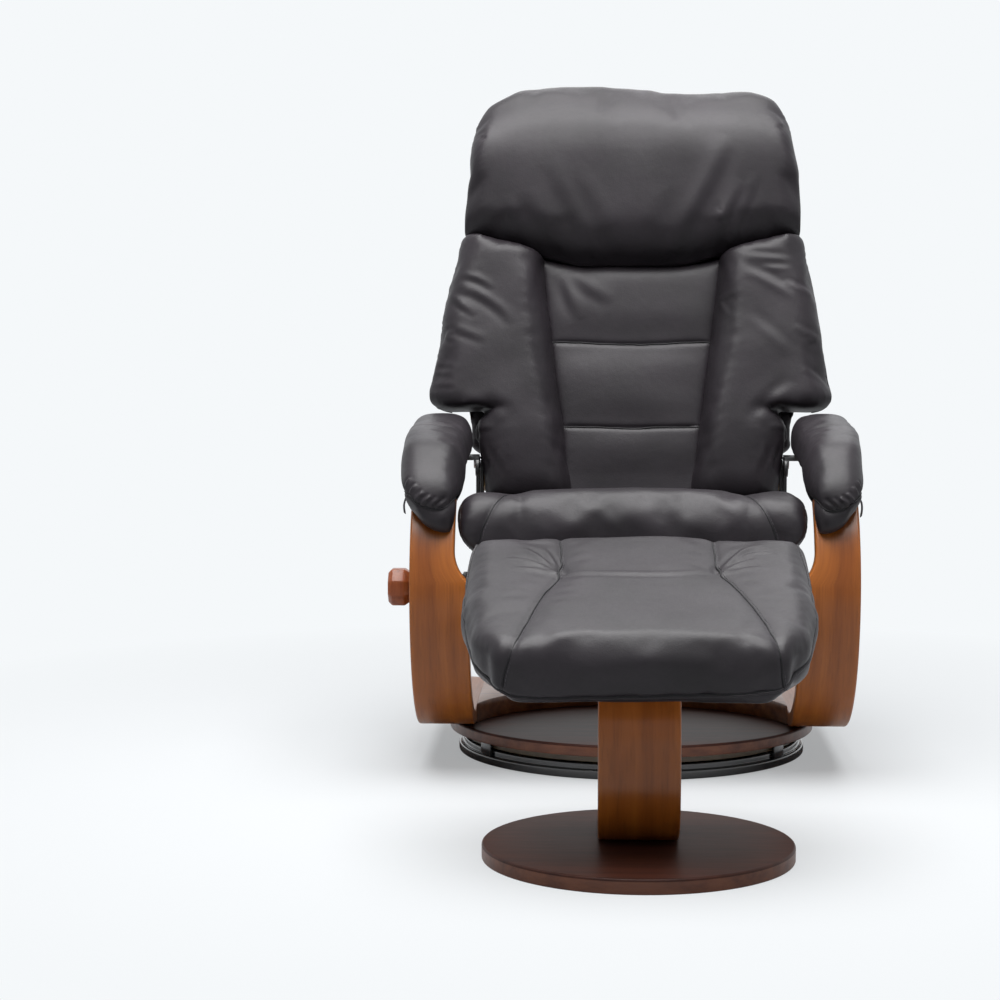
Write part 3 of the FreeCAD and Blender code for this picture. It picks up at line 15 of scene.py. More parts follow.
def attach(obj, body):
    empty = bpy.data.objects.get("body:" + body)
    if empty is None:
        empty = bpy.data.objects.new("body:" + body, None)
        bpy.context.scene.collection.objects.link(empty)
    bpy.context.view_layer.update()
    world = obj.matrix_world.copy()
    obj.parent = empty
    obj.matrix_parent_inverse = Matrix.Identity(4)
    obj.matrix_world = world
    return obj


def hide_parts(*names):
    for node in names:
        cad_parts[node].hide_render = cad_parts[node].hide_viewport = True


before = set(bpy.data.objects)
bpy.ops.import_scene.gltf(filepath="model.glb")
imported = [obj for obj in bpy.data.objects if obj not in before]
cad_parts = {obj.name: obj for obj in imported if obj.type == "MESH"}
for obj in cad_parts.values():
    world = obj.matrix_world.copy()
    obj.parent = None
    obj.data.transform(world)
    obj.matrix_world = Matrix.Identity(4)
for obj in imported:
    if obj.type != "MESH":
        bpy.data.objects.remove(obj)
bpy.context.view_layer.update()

MM = 0.001
LOG = logging.getLogger("recliner")

Array = np.ndarray
Mesh = bpy.types.Mesh
Material = bpy.types.Material
Colour = tuple[float, float, float]


def srgb(red: int, green: int, blue: int) -> Colour:
    """Linear colour of an sRGB value.

    Args:
        red, green, blue: Channels from 0 to 255.

    Returns:
        The three linear channels.
    """
    def linear(channel: int) -> float:
        """Linear value of one channel."""
        share = channel / 255
        return share / 12.92 if share <= 0.04045 else ((share + 0.055) / 1.055) ** 2.4
    return linear(red), linear(green), linear(blue)


class Side(Enum):
    """Left is the viewer's left, the side of the recline knob."""
    LEFT = -1
    RIGHT = 1

    @property
    def word(self) -> str:
        """The side's name as the nodes write it."""
        return self.name.lower()


# Node trees

class Wire:
    """One output socket of a node tree; arithmetic on it adds Math nodes."""

    def __init__(self, tree: bpy.types.NodeTree, socket: bpy.types.NodeSocket) -> None:
        """Keeps the tree and the socket."""
        self.tree = tree
        self.socket = socket

    def maths(self, operation: str, *values: "Wire | float") -> "Wire":
        """Adds a Math node.

        Args:
            operation: The node's operation.
            values: Its inputs in order, links or numbers.

        Returns:
            The result's wire.
        """
        node = self.tree.nodes.new("ShaderNodeMath")
        node.operation = operation
        for place, value in enumerate(values):
            if isinstance(value, Wire):
                self.tree.links.new(value.socket, node.inputs[place])
            else:
                node.inputs[place].default_value = value
        return Wire(self.tree, node.outputs[0])

    def __add__(self, other: "Wire | float") -> "Wire":
        """Sum."""
        return self.maths("ADD", self, other)

    __radd__ = __add__

    def __sub__(self, other: "Wire | float") -> "Wire":
        """Difference."""
        return self.maths("SUBTRACT", self, other)

    def __rsub__(self, other: float) -> "Wire":
        """Difference from a number."""
        return self.maths("SUBTRACT", other, self)

    def __mul__(self, other: "Wire | float") -> "Wire":
        """Product."""
        return self.maths("MULTIPLY", self, other)

    __rmul__ = __mul__

    def __truediv__(self, other: "Wire | float") -> "Wire":
        """Quotient."""
        return self.maths("DIVIDE", self, other)

    def __rtruediv__(self, other: float) -> "Wire":
        """A number divided by the wire."""
        return self.maths("DIVIDE", other, self)

    def __pow__(self, power: float) -> "Wire":
        """Power."""
        return self.maths("POWER", self, power)

    def most(self, other: "Wire | float") -> "Wire":
        """The larger of the two."""
        return self.maths("MAXIMUM", self, other)

    def held(self, low: float, high: float) -> "Wire":
        """The wire kept between two numbers."""
        return self.maths("MINIMUM", self.most(low), high)


class Graph:
    """A node tree that is built from Python."""

    def __init__(self, tree: bpy.types.NodeTree) -> None:
        """Keeps the tree."""
        self.tree = tree

    def node(self, kind: str, settings: dict | None = None, inputs: dict | None = None,
             output: int | str = 0) -> Wire:
        """Adds a node.

        Args:
            kind: The node's type.
            settings: Its properties, set first.
            inputs: Socket name or number to a value, a wire or a list of wires.
            output: The output that is wanted.

        Returns:
            That output's wire.
        """
        node = self.tree.nodes.new(kind)
        for name, value in (settings or {}).items():
            setattr(node, name, value)
        for name, value in (inputs or {}).items():
            socket = node.inputs[name]
            for one in value if isinstance(value, list) else [value]:
                if isinstance(one, Wire):
                    self.tree.links.new(one.socket, socket)
                elif one is not None:
                    socket.default_value = one
        return Wire(self.tree, node.outputs[output])

    def ended(self, kind: str, shader: Wire) -> None:
        """Links a shader to a new output node of a kind."""
        out = self.tree.nodes.new(kind)
        self.tree.links.new(shader.socket, out.inputs["Surface"])


class Paint(Graph):
    """A material's node tree."""

    def __init__(self, name: str) -> None:
        """Starts an empty material.

        Args:
            name: The material's name.
        """
        self.material = bpy.data.materials.new(name)
        self.material.use_nodes = True
        super().__init__(self.material.node_tree)
        self.tree.nodes.clear()

    def here(self) -> Wire:
        """Object coordinates, in metres of the chair's frame."""
        return self.node("ShaderNodeTexCoord", output="Object")

    def stretched(self, place: Wire, scale: tuple[float, float, float]) -> Wire:
        """Coordinates multiplied along each axis."""
        return self.node("ShaderNodeVectorMath", {"operation": "MULTIPLY"}, {0: place, 1: scale})

    def cloud(self, place: Wire, scale: float, detail: float = 3.0, rough: float = 0.5) -> Wire:
        """Noise from 0 to 1 at so many cells a metre."""
        return self.node("ShaderNodeTexNoise", {}, {
            "Vector": place, "Scale": scale, "Detail": detail, "Roughness": rough})

    def blended(self, share: Wire, first: Colour | Wire, second: Colour | Wire) -> Wire:
        """Mixes two colours.

        Args:
            share: 0 for the first colour, 1 for the second.
            first, second: The colours.

        Returns:
            The mixed colour.
        """
        def full(colour: Colour | Wire) -> tuple | Wire:
            """The colour with its alpha."""
            return colour if isinstance(colour, Wire) else (*colour, 1)
        return self.node("ShaderNodeMix", {"data_type": "RGBA"}, {
            0: share, 6: full(first), 7: full(second)}, output=2)

    def spread(self, share: Wire, low: float, high: float) -> Wire:
        """The share widened so that low becomes 0 and high becomes 1."""
        return ((share - low) / (high - low)).held(0, 1)

    def relief(self, height: Wire, distance: float, strength: float = 1.0,
               under: Wire | None = None) -> Wire:
        """Bump of a height from 0 to 1 and a distance in metres."""
        return self.node("ShaderNodeBump", {}, {
            "Height": height, "Distance": distance, "Strength": strength, "Normal": under})

    def surface(self, **sockets: "Wire | float | tuple") -> Material:
        """Ends the tree in a Principled surface.

        Args:
            sockets: Values by socket name, with spaces written as underscores.

        Returns:
            The material.
        """
        inputs = {name.replace("_", " "): value for name, value in sockets.items()}
        self.ended("ShaderNodeOutputMaterial", self.node("ShaderNodeBsdfPrincipled", {}, inputs))
        return self.material


# Finishes

@dataclass(frozen=True)
class Leather:
    """Soft dyed leather with a fine pebble and slightly uneven dye."""
    colour: Colour = srgb(37, 33, 37)
    deep: Colour = srgb(28, 25, 28)
    roughness: float = 0.44
    pebble: float = 620.0
    pebble_depth: float = 0.00022

    def made(self, name: str) -> Material:
        """Builds the material.

        Args:
            name: Its name.

        Returns:
            The material.
        """
        paint = Paint(name)
        here = paint.here()
        patches = paint.cloud(here, 9.0, 4.0, 0.55)
        specks = paint.cloud(here, 170.0, 2.0)
        colour = paint.blended(paint.spread(patches, 0.35, 0.7), self.colour, self.deep)
        colour = paint.blended(paint.spread(specks, 0.55, 0.8) * 0.35, colour, self.deep)
        cells = paint.node("ShaderNodeTexVoronoi", {"feature": "SMOOTH_F1"}, {
            "Vector": here, "Scale": self.pebble, "Smoothness": 0.6})
        pores = paint.cloud(here, self.pebble * 2.2, 2.0)
        creases = paint.cloud(here, 46.0, 5.0, 0.6)
        low = paint.relief(creases, 0.0012, 0.35)
        normal = paint.relief(cells * 0.8 + pores * 0.2, self.pebble_depth, 0.5, low)
        roughness = self.roughness + (specks - 0.5) * 0.14 + (patches - 0.5) * 0.1
        return paint.surface(
            Base_Color=colour, Roughness=roughness, Specular_IOR_Level=0.24, Normal=normal)


@dataclass(frozen=True)
class BentWood:
    """Stained laminated strip; the grain follows attributes along and across the strip."""
    light: Colour = srgb(158, 91, 33)
    dark: Colour = srgb(112, 56, 14)
    line: Colour = srgb(68, 29, 6)

    def made(self, name: str) -> Material:
        """Builds the material.

        Args:
            name: Its name.

        Returns:
            The material.
        """
        paint = Paint(name)

        def of(attribute: str) -> Wire:
            """A number that the strip's mesh carries."""
            return paint.node("ShaderNodeAttribute", {"attribute_name": attribute}, output="Fac")
        along, across, deep = of("along"), of("across"), of("deep")
        place = paint.node("ShaderNodeCombineXYZ", {}, {0: along * 0.05, 1: across, 2: deep * 0.2})
        figure = paint.cloud(place, 34.0, 5.0, 0.62)
        fibre = paint.cloud(paint.stretched(place, (1.5, 1, 1)), 260.0, 3.0, 0.6)
        mottle = paint.cloud(paint.stretched(place, (4, 1, 1)), 26.0, 4.0)
        colour = paint.blended(paint.spread(figure, 0.3, 0.74), self.light, self.dark)
        colour = paint.blended(paint.spread(mottle, 0.45, 0.8) * 0.5, colour, self.dark)
        colour = paint.blended(paint.spread(fibre, 0.5, 0.85) * 0.4, colour, self.line)
        normal = paint.relief(fibre, 0.00018, 0.5)
        return paint.surface(
            Base_Color=colour, Roughness=0.34 + (fibre - 0.5) * 0.12, Normal=normal,
            Coat_Weight=0.12, Coat_Roughness=0.2, Specular_IOR_Level=0.3)


@dataclass(frozen=True)
class BoardWood:
    """Stained and varnished board with straight grain along one axis."""
    light: Colour
    dark: Colour
    grain: tuple[float, float, float] = (0.06, 1.0, 1.0)
    scale: float = 60.0
    roughness: float = 0.3
    coat: float = 0.5
    shine: float = 0.4

    def made(self, name: str) -> Material:
        """Builds the material.

        Args:
            name: Its name.

        Returns:
            The material.
        """
        paint = Paint(name)
        place = paint.stretched(paint.here(), self.grain)
        figure = paint.cloud(place, self.scale, 5.0, 0.6)
        fibre = paint.cloud(place, self.scale * 7, 3.0, 0.6)
        colour = paint.blended(paint.spread(figure, 0.34, 0.68), self.light, self.dark)
        colour = paint.blended(paint.spread(fibre, 0.5, 0.8) * 0.4, colour, self.dark)
        return paint.surface(
            Base_Color=colour, Roughness=self.roughness + (fibre - 0.5) * 0.1,
            Normal=paint.relief(fibre, 0.00012, 0.5), Coat_Weight=self.coat, Coat_Roughness=0.12,
            Specular_IOR_Level=self.shine)


@dataclass(frozen=True)
class Metal:
    """Painted or plated steel with a faint unevenness and dulled patches."""
    colour: Colour
    metallic: float = 0.0
    roughness: float = 0.3
    coat: float = 0.0

    def made(self, name: str) -> Material:
        """Builds the material.

        Args:
            name: Its name.

        Returns:
            The material.
        """
        paint = Paint(name)
        here = paint.here()
        haze = paint.cloud(here, 24.0, 4.0)
        peel = paint.cloud(here, 420.0, 2.0)
        worn = tuple(min(1.0, channel * 1.5 + 0.004) for channel in self.colour)
        return paint.surface(
            Base_Color=paint.blended(paint.spread(haze, 0.5, 0.85) * 0.5, self.colour, worn),
            Metallic=self.metallic, Roughness=self.roughness + (haze - 0.5) * 0.16,
            Normal=paint.relief(peel, 0.00006, 0.5), Coat_Weight=self.coat, Coat_Roughness=0.08)


@dataclass(frozen=True)
class Moulded:
    """Moulded plastic with a fine spark texture."""
    colour: Colour
    roughness: float = 0.5

    def made(self, name: str) -> Material:
        """Builds the material.

        Args:
            name: Its name.

        Returns:
            The material.
        """
        paint = Paint(name)
        here = paint.here()
        spark = paint.cloud(here, 900.0, 2.0)
        tone = paint.cloud(here, 30.0, 2.0)
        lighter = tuple(channel * 1.25 for channel in self.colour)
        return paint.surface(
            Base_Color=paint.blended(paint.spread(tone, 0.4, 0.7), self.colour, lighter),
            Roughness=self.roughness + (spark - 0.5) * 0.1, Normal=paint.relief(spark, 0.0001, 0.5))


@dataclass(frozen=True)
class Woven:
    """Woven strap or cloth, its threads along X and Y."""
    colour: Colour
    threads: float = 900.0
    roughness: float = 0.85

    def made(self, name: str) -> Material:
        """Builds the material.

        Args:
            name: Its name.

        Returns:
            The material.
        """
        paint = Paint(name)
        here = paint.here()

        def waves(direction: str) -> Wire:
            """Bands across one direction."""
            return paint.node("ShaderNodeTexWave", {"bands_direction": direction}, {
                "Vector": here, "Scale": self.threads / 20, "Distortion": 0.4})
        weave = waves("X") * waves("Y")
        lighter = tuple(min(1.0, channel * 1.8 + 0.01) for channel in self.colour)
        return paint.surface(
            Base_Color=paint.blended(weave, self.colour, lighter),
            Roughness=self.roughness + (weave - 0.5) * 0.1, Normal=paint.relief(weave, 0.0004, 0.6))


class Finishes:
    """All materials of the chair and the ottoman, each made once."""

    def __init__(self) -> None:
        """Makes the materials."""
        self.leather = Leather().made("leather")
        # Near-black leather for the tubes laid along the seams: painted shade of the seams'
        # grooves.
        self.seam = Leather(
            colour=srgb(18, 17, 20), deep=srgb(14, 13, 15), roughness=0.6).made("leather_seam_shade")
        self.welt = Leather().made("leather_welt")
        self.thread = Moulded(srgb(48, 46, 50), 0.6).made("thread")
        self.bentwood = BentWood().made("bentwood")
        self.walnut = BoardWood(
            srgb(62, 33, 24), srgb(43, 22, 17), roughness=0.46, coat=0.0, shine=0.13).made("walnut")
        self.walnut_rim = BoardWood(
            srgb(104, 62, 42), srgb(76, 42, 28), roughness=0.36, coat=0.15,
            shine=0.25).made("walnut_rim")
        self.lower_disc = BoardWood(
            srgb(92, 78, 58), srgb(66, 52, 36), roughness=0.4, coat=0.2).made("lower_disc")
        self.board = BoardWood(
            srgb(156, 98, 56), srgb(112, 64, 33), coat=0.2, shine=0.25).made("board_wood")
        self.rail = BoardWood(
            srgb(150, 94, 52), srgb(108, 60, 30), roughness=0.36).made("rail_wood")
        self.knob = BoardWood(srgb(150, 78, 38), srgb(116, 54, 24), (1, 1, 0.08), 90.0,
                              coat=0.1, shine=0.25).made("knob_wood")
        self.beech = BoardWood(
            srgb(206, 178, 138), srgb(178, 144, 104), roughness=0.6, coat=0.0).made("beech")
        self.ring = Metal((0.012, 0.012, 0.013), 0.0, 0.16, 0.6).made("ring_black")
        self.bracket = Metal((0.02, 0.02, 0.021), 0.0, 0.4).made("bracket_black")
        self.steel = Metal((0.5, 0.5, 0.51), 1.0, 0.36).made("plated_steel")
        self.screw = Metal((0.42, 0.42, 0.44), 1.0, 0.3).made("screw_steel")
        # Near-black hexagon on each screw head: painted shade of a hex socket.
        self.socket_shade = Metal((0.01, 0.01, 0.01), 0.3, 0.6).made("screw_socket_shade")
        self.glide = Moulded(srgb(220, 218, 210), 0.4).made("glide_plastic")
        self.tab = Moulded(srgb(64, 64, 68), 0.5).made("tab_plastic")
        self.webbing = Woven((0.03, 0.03, 0.032)).made("webbing")
        self.dust_cloth = Woven((0.02, 0.02, 0.021), 1400.0).made("dust_cloth")


# Meshes

def points_of(mesh: Mesh) -> Array:
    """Reads a mesh's vertices.

    Args:
        mesh: The mesh.

    Returns:
        One row (x, y, z) for each vertex.
    """
    flat = np.empty(len(mesh.vertices) * 3, np.float32)
    mesh.vertices.foreach_get("co", flat)
    return flat.reshape(-1, 3).astype(float)


def new_mesh(name: str, points: Array, faces: "Array | list") -> Mesh:
    """Makes a mesh.

    Args:
        name: The mesh's name.
        points: One row in metres for each vertex.
        faces: The vertices of each face.

    Returns:
        The mesh.
    """
    mesh = bpy.data.meshes.new(name)
    mesh.from_pydata(np.asarray(points).tolist(), [], np.asarray(faces).tolist()
                     if isinstance(faces, np.ndarray) else faces)
    mesh.update()
    return mesh


def edited(mesh: Mesh, change: Callable[[bmesh.types.BMesh], object]) -> Mesh:
    """Changes a mesh through bmesh.

    Args:
        mesh: The mesh.
        change: What is done to its bmesh.

    Returns:
        The same mesh.
    """
    shape = bmesh.new()
    shape.from_mesh(mesh)
    change(shape)
    shape.to_mesh(mesh)
    shape.free()
    return mesh


def linked(name: str, data: bpy.types.ID) -> bpy.types.Object:
    """Puts a new object in the scene.

    Args:
        name: Its name.
        data: The mesh, lamp or camera that it holds.

    Returns:
        The object.
    """
    thing = bpy.data.objects.new(name, data)
    bpy.context.scene.collection.objects.link(thing)
    return thing


def worked(mesh: Mesh, kind: str, settings: dict[str, object],
           inputs: dict[str, float] | None = None) -> Mesh:
    """Runs one modifier on a mesh.

    Args:
        mesh: The mesh to start from; it is removed.
        kind: The modifier's type.
        settings: Its settings.
        inputs: Values of a node tree's inputs by their identifiers.

    Returns:
        The plain mesh that comes out.
    """
    holder = linked("passing", mesh)
    modifier = holder.modifiers.new(kind.lower(), kind)
    for name, setting in settings.items():
        setattr(modifier, name, setting)
    for key, value in (inputs or {}).items():
        modifier[key] = value
    holder.update_tag()
    graph = bpy.context.evaluated_depsgraph_get()
    result = bpy.data.meshes.new_from_object(holder.evaluated_get(graph))
    bpy.data.objects.remove(holder)
    bpy.data.meshes.remove(mesh)
    return result


def copy_of_nodes(nodes: list[str]) -> Mesh:
    """One welded mesh from copies of CAD nodes.

    Args:
        nodes: The nodes' names.

    Returns:
        The mesh.
    """
    shape = bmesh.new()
    for node in nodes:
        shape.from_mesh(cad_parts[node].data)
    bmesh.ops.remove_doubles(shape, verts=shape.verts[:], dist=0.02 * MM)
    mesh = bpy.data.meshes.new("copy")
    shape.to_mesh(mesh)
    shape.free()
    return mesh


class Workshop:
    """Dresses finished meshes and hangs them on their bodies."""

    def __init__(self, finishes: Finishes) -> None:
        """Keeps the finishes."""
        self.finishes = finishes

    def piece(self, name: str, mesh: Mesh, finish: "Material | None", body: str,
              slot: str, nodes: tuple[str, ...] = (), smooth_angle: float = 180.0,
              fill: float | None = None) -> bpy.types.Object:
        """Makes a piece of the object from a mesh in metres.

        Args:
            name: The piece's name.
            mesh: Its mesh, in place.
            finish: Its material, or None where the mesh has its own.
            body: The body that it rides on.
            slot: The record's material slot; not used.
            nodes: The CAD nodes that it stands for.
            smooth_angle: Edges sharper than this many degrees stay crisp.
            fill: How tightly it is stuffed, for a padded piece; not used.

        Returns:
            The object.
        """
        mesh.name = name
        if finish is not None:
            mesh.materials.clear()
            mesh.materials.append(finish)
        mesh.shade_smooth()
        if smooth_angle < 180:
            mesh.set_sharp_from_angle(angle=math.radians(smooth_angle))
        thing = linked(name, mesh)
        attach(thing, body)
        if nodes:
            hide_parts(*nodes)
        LOG.info("%s: %d faces on %s", name, len(mesh.polygons), body)
        return thing

    def repaint(self, finish: Material, *nodes: str) -> None:
        """Gives CAD nodes that stay a finish.

        Args:
            finish: Their material.
            nodes: Their names.
        """
        for node in nodes:
            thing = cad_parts[node]
            thing.data.materials.clear()
            thing.data.materials.append(finish)
            LOG.info("%s: CAD node with %s", node, finish.name)

    def eased(self, node: str, finish: Material, body: str, slot: str, width: float) -> None:
        """Replaces a rigid CAD node by a copy with its sharp edges broken.

        Args:
            node: The CAD node.
            finish: The copy's material.
            body: The body that it rides on.
            slot: The record's material slot.
            width: Width of the broken edge in millimetres.
        """
        mesh = edited(copy_of_nodes([node]), lambda shape: bmesh.ops.dissolve_limit(
            shape, angle_limit=math.radians(2), verts=shape.verts[:], edges=shape.edges[:]))
        mesh = worked(mesh, "BEVEL", {
            "width": width * MM, "segments": 2, "limit_method": "ANGLE",
            "angle_limit": math.radians(28), "use_clamp_overlap": True})
        self.piece(node + "_eased", mesh, finish, body, slot, (node,), smooth_angle=32)


# Geometry Nodes

class Recipe(Graph):
    """A Geometry Nodes tree with named inputs, baked to a plain mesh."""

    def __init__(self, name: str, inputs: dict[str, float]) -> None:
        """Starts the tree with a geometry input and the named numbers.

        Args:
            name: The tree's name.
            inputs: The named inputs with their first values.
        """
        super().__init__(bpy.data.node_groups.new(name, "GeometryNodeTree"))
        face = self.tree.interface
        face.new_socket("Geometry", in_out="INPUT", socket_type="NodeSocketGeometry")
        face.new_socket("Geometry", in_out="OUTPUT", socket_type="NodeSocketGeometry")
        self.keys: dict[str, str] = {}
        for label, value in inputs.items():
            kind = "NodeSocketInt" if isinstance(value, int) else "NodeSocketFloat"
            socket = face.new_socket(label, in_out="INPUT", socket_type=kind)
            socket.default_value = value
            self.keys[label] = socket.identifier
        self.entry = self.tree.nodes.new("NodeGroupInput")
        self.exit = self.tree.nodes.new("NodeGroupOutput")

    def given(self, label: str) -> Wire:
        """One of the tree's inputs."""
        return Wire(self.tree, self.entry.outputs[label])

    def path(self) -> Wire:
        """The chains of the geometry input as curves."""
        return self.node("GeometryNodeMeshToCurve", {}, {"Mesh": self.given("Geometry")})

    def named(self, name: str, kind: str = "FLOAT") -> Wire:
        """A stored number, or a direction where the kind says so."""
        return self.node("GeometryNodeInputNamedAttribute", {"data_type": kind}, {"Name": name})

    def swept(self, path: Wire, section: Wire) -> Wire:
        """A section swept along a path, its ends closed."""
        return self.node("GeometryNodeCurveToMesh", {}, {
            "Curve": path, "Profile Curve": section, "Fill Caps": True})

    def planted(self, thing: Wire, points: Wire, way: Wire) -> Wire:
        """The thing at each point, its Z turned to a direction."""
        turn = self.node("FunctionNodeAlignRotationToVector", {"axis": "Z"}, {"Vector": way})
        return self.node("GeometryNodeInstanceOnPoints", {}, {
            "Points": points, "Instance": thing, "Rotation": turn})

    def finish(self, geometry: Wire) -> None:
        """Ends the tree in Realize Instances."""
        whole = self.node("GeometryNodeRealizeInstances", {}, {"Geometry": geometry})
        self.tree.links.new(whole.socket, self.exit.inputs[0])

    def painted(self, geometry: Wire, material: Material) -> Wire:
        """The geometry with a material."""
        return self.node("GeometryNodeSetMaterial", {}, {
            "Geometry": geometry, "Material": material})

    def baked(self, mesh: Mesh, values: dict[str, float]) -> Mesh:
        """Runs the tree on a mesh.

        Args:
            mesh: The geometry input.
            values: Values of the named inputs.

        Returns:
            A plain mesh.
        """
        return worked(mesh, "NODES", {"node_group": self.tree},
                      {self.keys[label]: value for label, value in values.items()})


def chain_mesh(lines: list[Array], aims: list[Array] | None = None) -> Mesh:
    """Mesh of open chains of edges.

    Args:
        lines: Points of each chain, in metres.
        aims: A direction for each point, kept as the attribute aim.

    Returns:
        The mesh, with no faces.
    """
    points, edges = [], []
    for line in lines:
        start = len(points)
        points += np.asarray(line).tolist()
        edges += [(start + i, start + i + 1) for i in range(len(line) - 1)]
    mesh = bpy.data.meshes.new("chains")
    mesh.from_pydata(points, edges, [])
    if aims is not None:
        layer = mesh.attributes.new("aim", "FLOAT_VECTOR", "POINT")
        layer.data.foreach_set("vector", np.concatenate(aims).astype(np.float32).ravel())
    return mesh


class StripRecipe(Recipe):
    """Bent strip of rounded section along a path, with grain attributes."""

    def __init__(self, material: Material) -> None:
        """Builds the tree.

        Args:
            material: The strip's material.
        """
        super().__init__("bent_strip", {
            "Width": 0.1, "Thickness": 0.025, "Edge Radius": 0.004, "Inner X": 0.0,
            "Shoulder Height": 10.0, "Shoulder Run": 0.05, "Step": 0.02, "Foot Radius": 0.0})
        width, thick = self.given("Width"), self.given("Thickness")
        along = self.node("GeometryNodeSplineParameter", {}, {}, "Length")
        path = self.store(self.path(), "along", along)
        section = self.node("GeometryNodeCurvePrimitiveQuadrilateral", {}, {
            "Width": width, "Height": thick})
        section = self.node("GeometryNodeFilletCurve", {"mode": "POLY"}, {
            "Curve": section, "Count": 4, "Radius": self.given("Edge Radius"),
            "Limit Radius": True})
        spot = self.node("GeometryNodeInputPosition")
        section = self.store(section, "across", self.part(spot, "X"))
        section = self.store(section, "deep", self.part(spot, "Y"))
        strip = self.swept(path, section)
        place = self.node("GeometryNodeInputPosition")
        x, z = self.part(place, "X"), self.part(place, "Z")
        middle = self.given("Inner X") + width * 0.5
        inner = x.maths("LESS_THAN", x, middle)
        run, step = self.given("Shoulder Run"), self.given("Step")
        radius = (run * run + step * step) / (step * 2)
        rise = ((z - self.given("Shoulder Height")) / run).held(0, 1)
        reach = run * (1 - rise)
        shift = ((radius * radius - reach * reach) ** 0.5 - radius + step) * inner
        foot = self.given("Foot Radius")
        far = (foot - self.named("along")).most(0.0)
        corner = foot - (foot * foot - far * far).most(0.0) ** 0.5
        shift = shift + corner * (inner * 2 - 1)
        offset = self.node("ShaderNodeCombineXYZ", {}, {0: shift})
        strip = self.node("GeometryNodeSetPosition", {}, {"Geometry": strip, "Offset": offset})
        self.finish(self.painted(strip, material))

    def store(self, geometry: Wire, name: str, value: Wire) -> Wire:
        """Stores a number on each point under a name."""
        return self.node(
            "GeometryNodeStoreNamedAttribute", {"data_type": "FLOAT", "domain": "POINT"},
            {"Geometry": geometry, "Name": name, "Value": value})

    def part(self, vector: Wire, axis: str) -> Wire:
        """One component of a vector."""
        return self.node("ShaderNodeSeparateXYZ", {}, {0: vector}, axis)


class ScrewRecipe(Recipe):
    """Screws with a washer face, a domed head and a flat dark hexagon on top that paints the shade
    of a hex socket, one at each point.
    """

    def __init__(self, finishes: Finishes) -> None:
        """Builds the tree.

        Args:
            finishes: Holds the screws' materials.
        """
        super().__init__("screws", {"Head Radius": 0.006, "Head Height": 0.0025, "Length": 0.02})
        radius, height = self.given("Head Radius"), self.given("Head Height")
        flange = self.tin(24, radius, height * 0.4, height * 0.2)
        crown = self.node("GeometryNodeMeshCone", {}, {
            "Vertices": 24, "Radius Top": radius * 0.62, "Radius Bottom": radius * 0.93,
            "Depth": height * 0.6})
        crown = self.lifted(crown, height * 0.4)
        # A thin dark hexagon on the crown, painted as the shade of a hex socket.
        socket_shade = self.tin(6, radius * 0.42, height * 0.1, height * 0.96)
        shank = self.tin(12, radius * 0.5, self.given("Length"), self.given("Length") * -0.5)
        body = self.node("GeometryNodeJoinGeometry", {}, {"Geometry": [flange, crown, shank]})
        screw = self.node("GeometryNodeJoinGeometry", {}, {"Geometry": [
            self.painted(body, finishes.screw), self.painted(socket_shade, finishes.socket_shade)]})
        self.finish(self.planted(screw, self.given("Geometry"), self.named("aim", "FLOAT_VECTOR")))

    def lifted(self, geometry: Wire, height: Wire) -> Wire:
        """The geometry moved up."""
        return self.node("GeometryNodeTransform", {}, {
            "Geometry": geometry,
            "Translation": self.node("ShaderNodeCombineXYZ", {}, {2: height})})

    def tin(self, sides: int, radius: Wire, height: Wire, middle: Wire) -> Wire:
        """Upright bar of so many sides around a middle height."""
        bar = self.node("GeometryNodeMeshCylinder", {}, {
            "Vertices": sides, "Radius": radius, "Depth": height})
        return self.lifted(bar, middle)


class WeltRecipe(Recipe):
    """Round cord along each chain."""

    def __init__(self, material: Material) -> None:
        """Builds the tree.

        Args:
            material: The cord's material.
        """
        super().__init__("welt", {"Radius": 0.002})
        ring = self.node("GeometryNodeCurvePrimitiveCircle", {"mode": "RADIUS"}, {
            "Resolution": 8, "Radius": self.given("Radius")})
        self.finish(self.painted(self.swept(self.path(), ring), material))


class StitchRecipe(Recipe):
    """Short thread stitches along each chain."""

    def __init__(self, material: Material) -> None:
        """Builds the tree.

        Args:
            material: The thread's material.
        """
        super().__init__("stitches", {"Pitch": 0.006, "Stitch": 0.0042, "Thread": 0.0006})
        path = self.node("GeometryNodeResampleCurve", {"mode": "LENGTH"}, {
            "Curve": self.path(), "Length": self.given("Pitch")})
        thread = self.node("GeometryNodeMeshCylinder", {}, {
            "Vertices": 6, "Radius": self.given("Thread"), "Depth": self.given("Stitch")})
        row = self.planted(thread, path, self.node("GeometryNodeInputTangent"))
        self.finish(self.painted(row, material))


# Soft forms

@dataclass(frozen=True)
class Posture:
    """A cushion's own upright frame: origin in millimetres and turn about X in degrees."""
    y: float = 0.0
    z: float = 0.0
    turn: float = 0.0

    def to_chair(self, points: Array) -> Array:
        """Own millimetres to the chair's metres.

        Args:
            points: Points in own millimetres.

        Returns:
            The points in the chair's metres.
        """
        c, s = math.cos(math.radians(self.turn)), math.sin(math.radians(self.turn))
        x, y, z = points.T
        return np.stack([x, self.y + y * c - z * s, self.z + y * s + z * c], 1) * MM

    def to_own(self, points: Array) -> Array:
        """The chair's metres to own millimetres.

        Args:
            points: Points in the chair's metres.

        Returns:
            The points in own millimetres.
        """
        c, s = math.cos(math.radians(self.turn)), math.sin(math.radians(self.turn))
        x, y, z = (points / MM).T
        y, z = y - self.y, z - self.z
        return np.stack([x, y * c + z * s, -y * s + z * c], 1)


def eased_line(line: Array, rounds: int = 8) -> Array:
    """Evens a line out.

    Args:
        line: Its rows.
        rounds: How often each row is drawn towards its neighbours.

    Returns:
        The even line, its ends unmoved.
    """
    line = line.copy()
    for _ in range(rounds):
        line[1:-1] = (line[:-2] + 2 * line[1:-1] + line[2:]) / 4
    return line


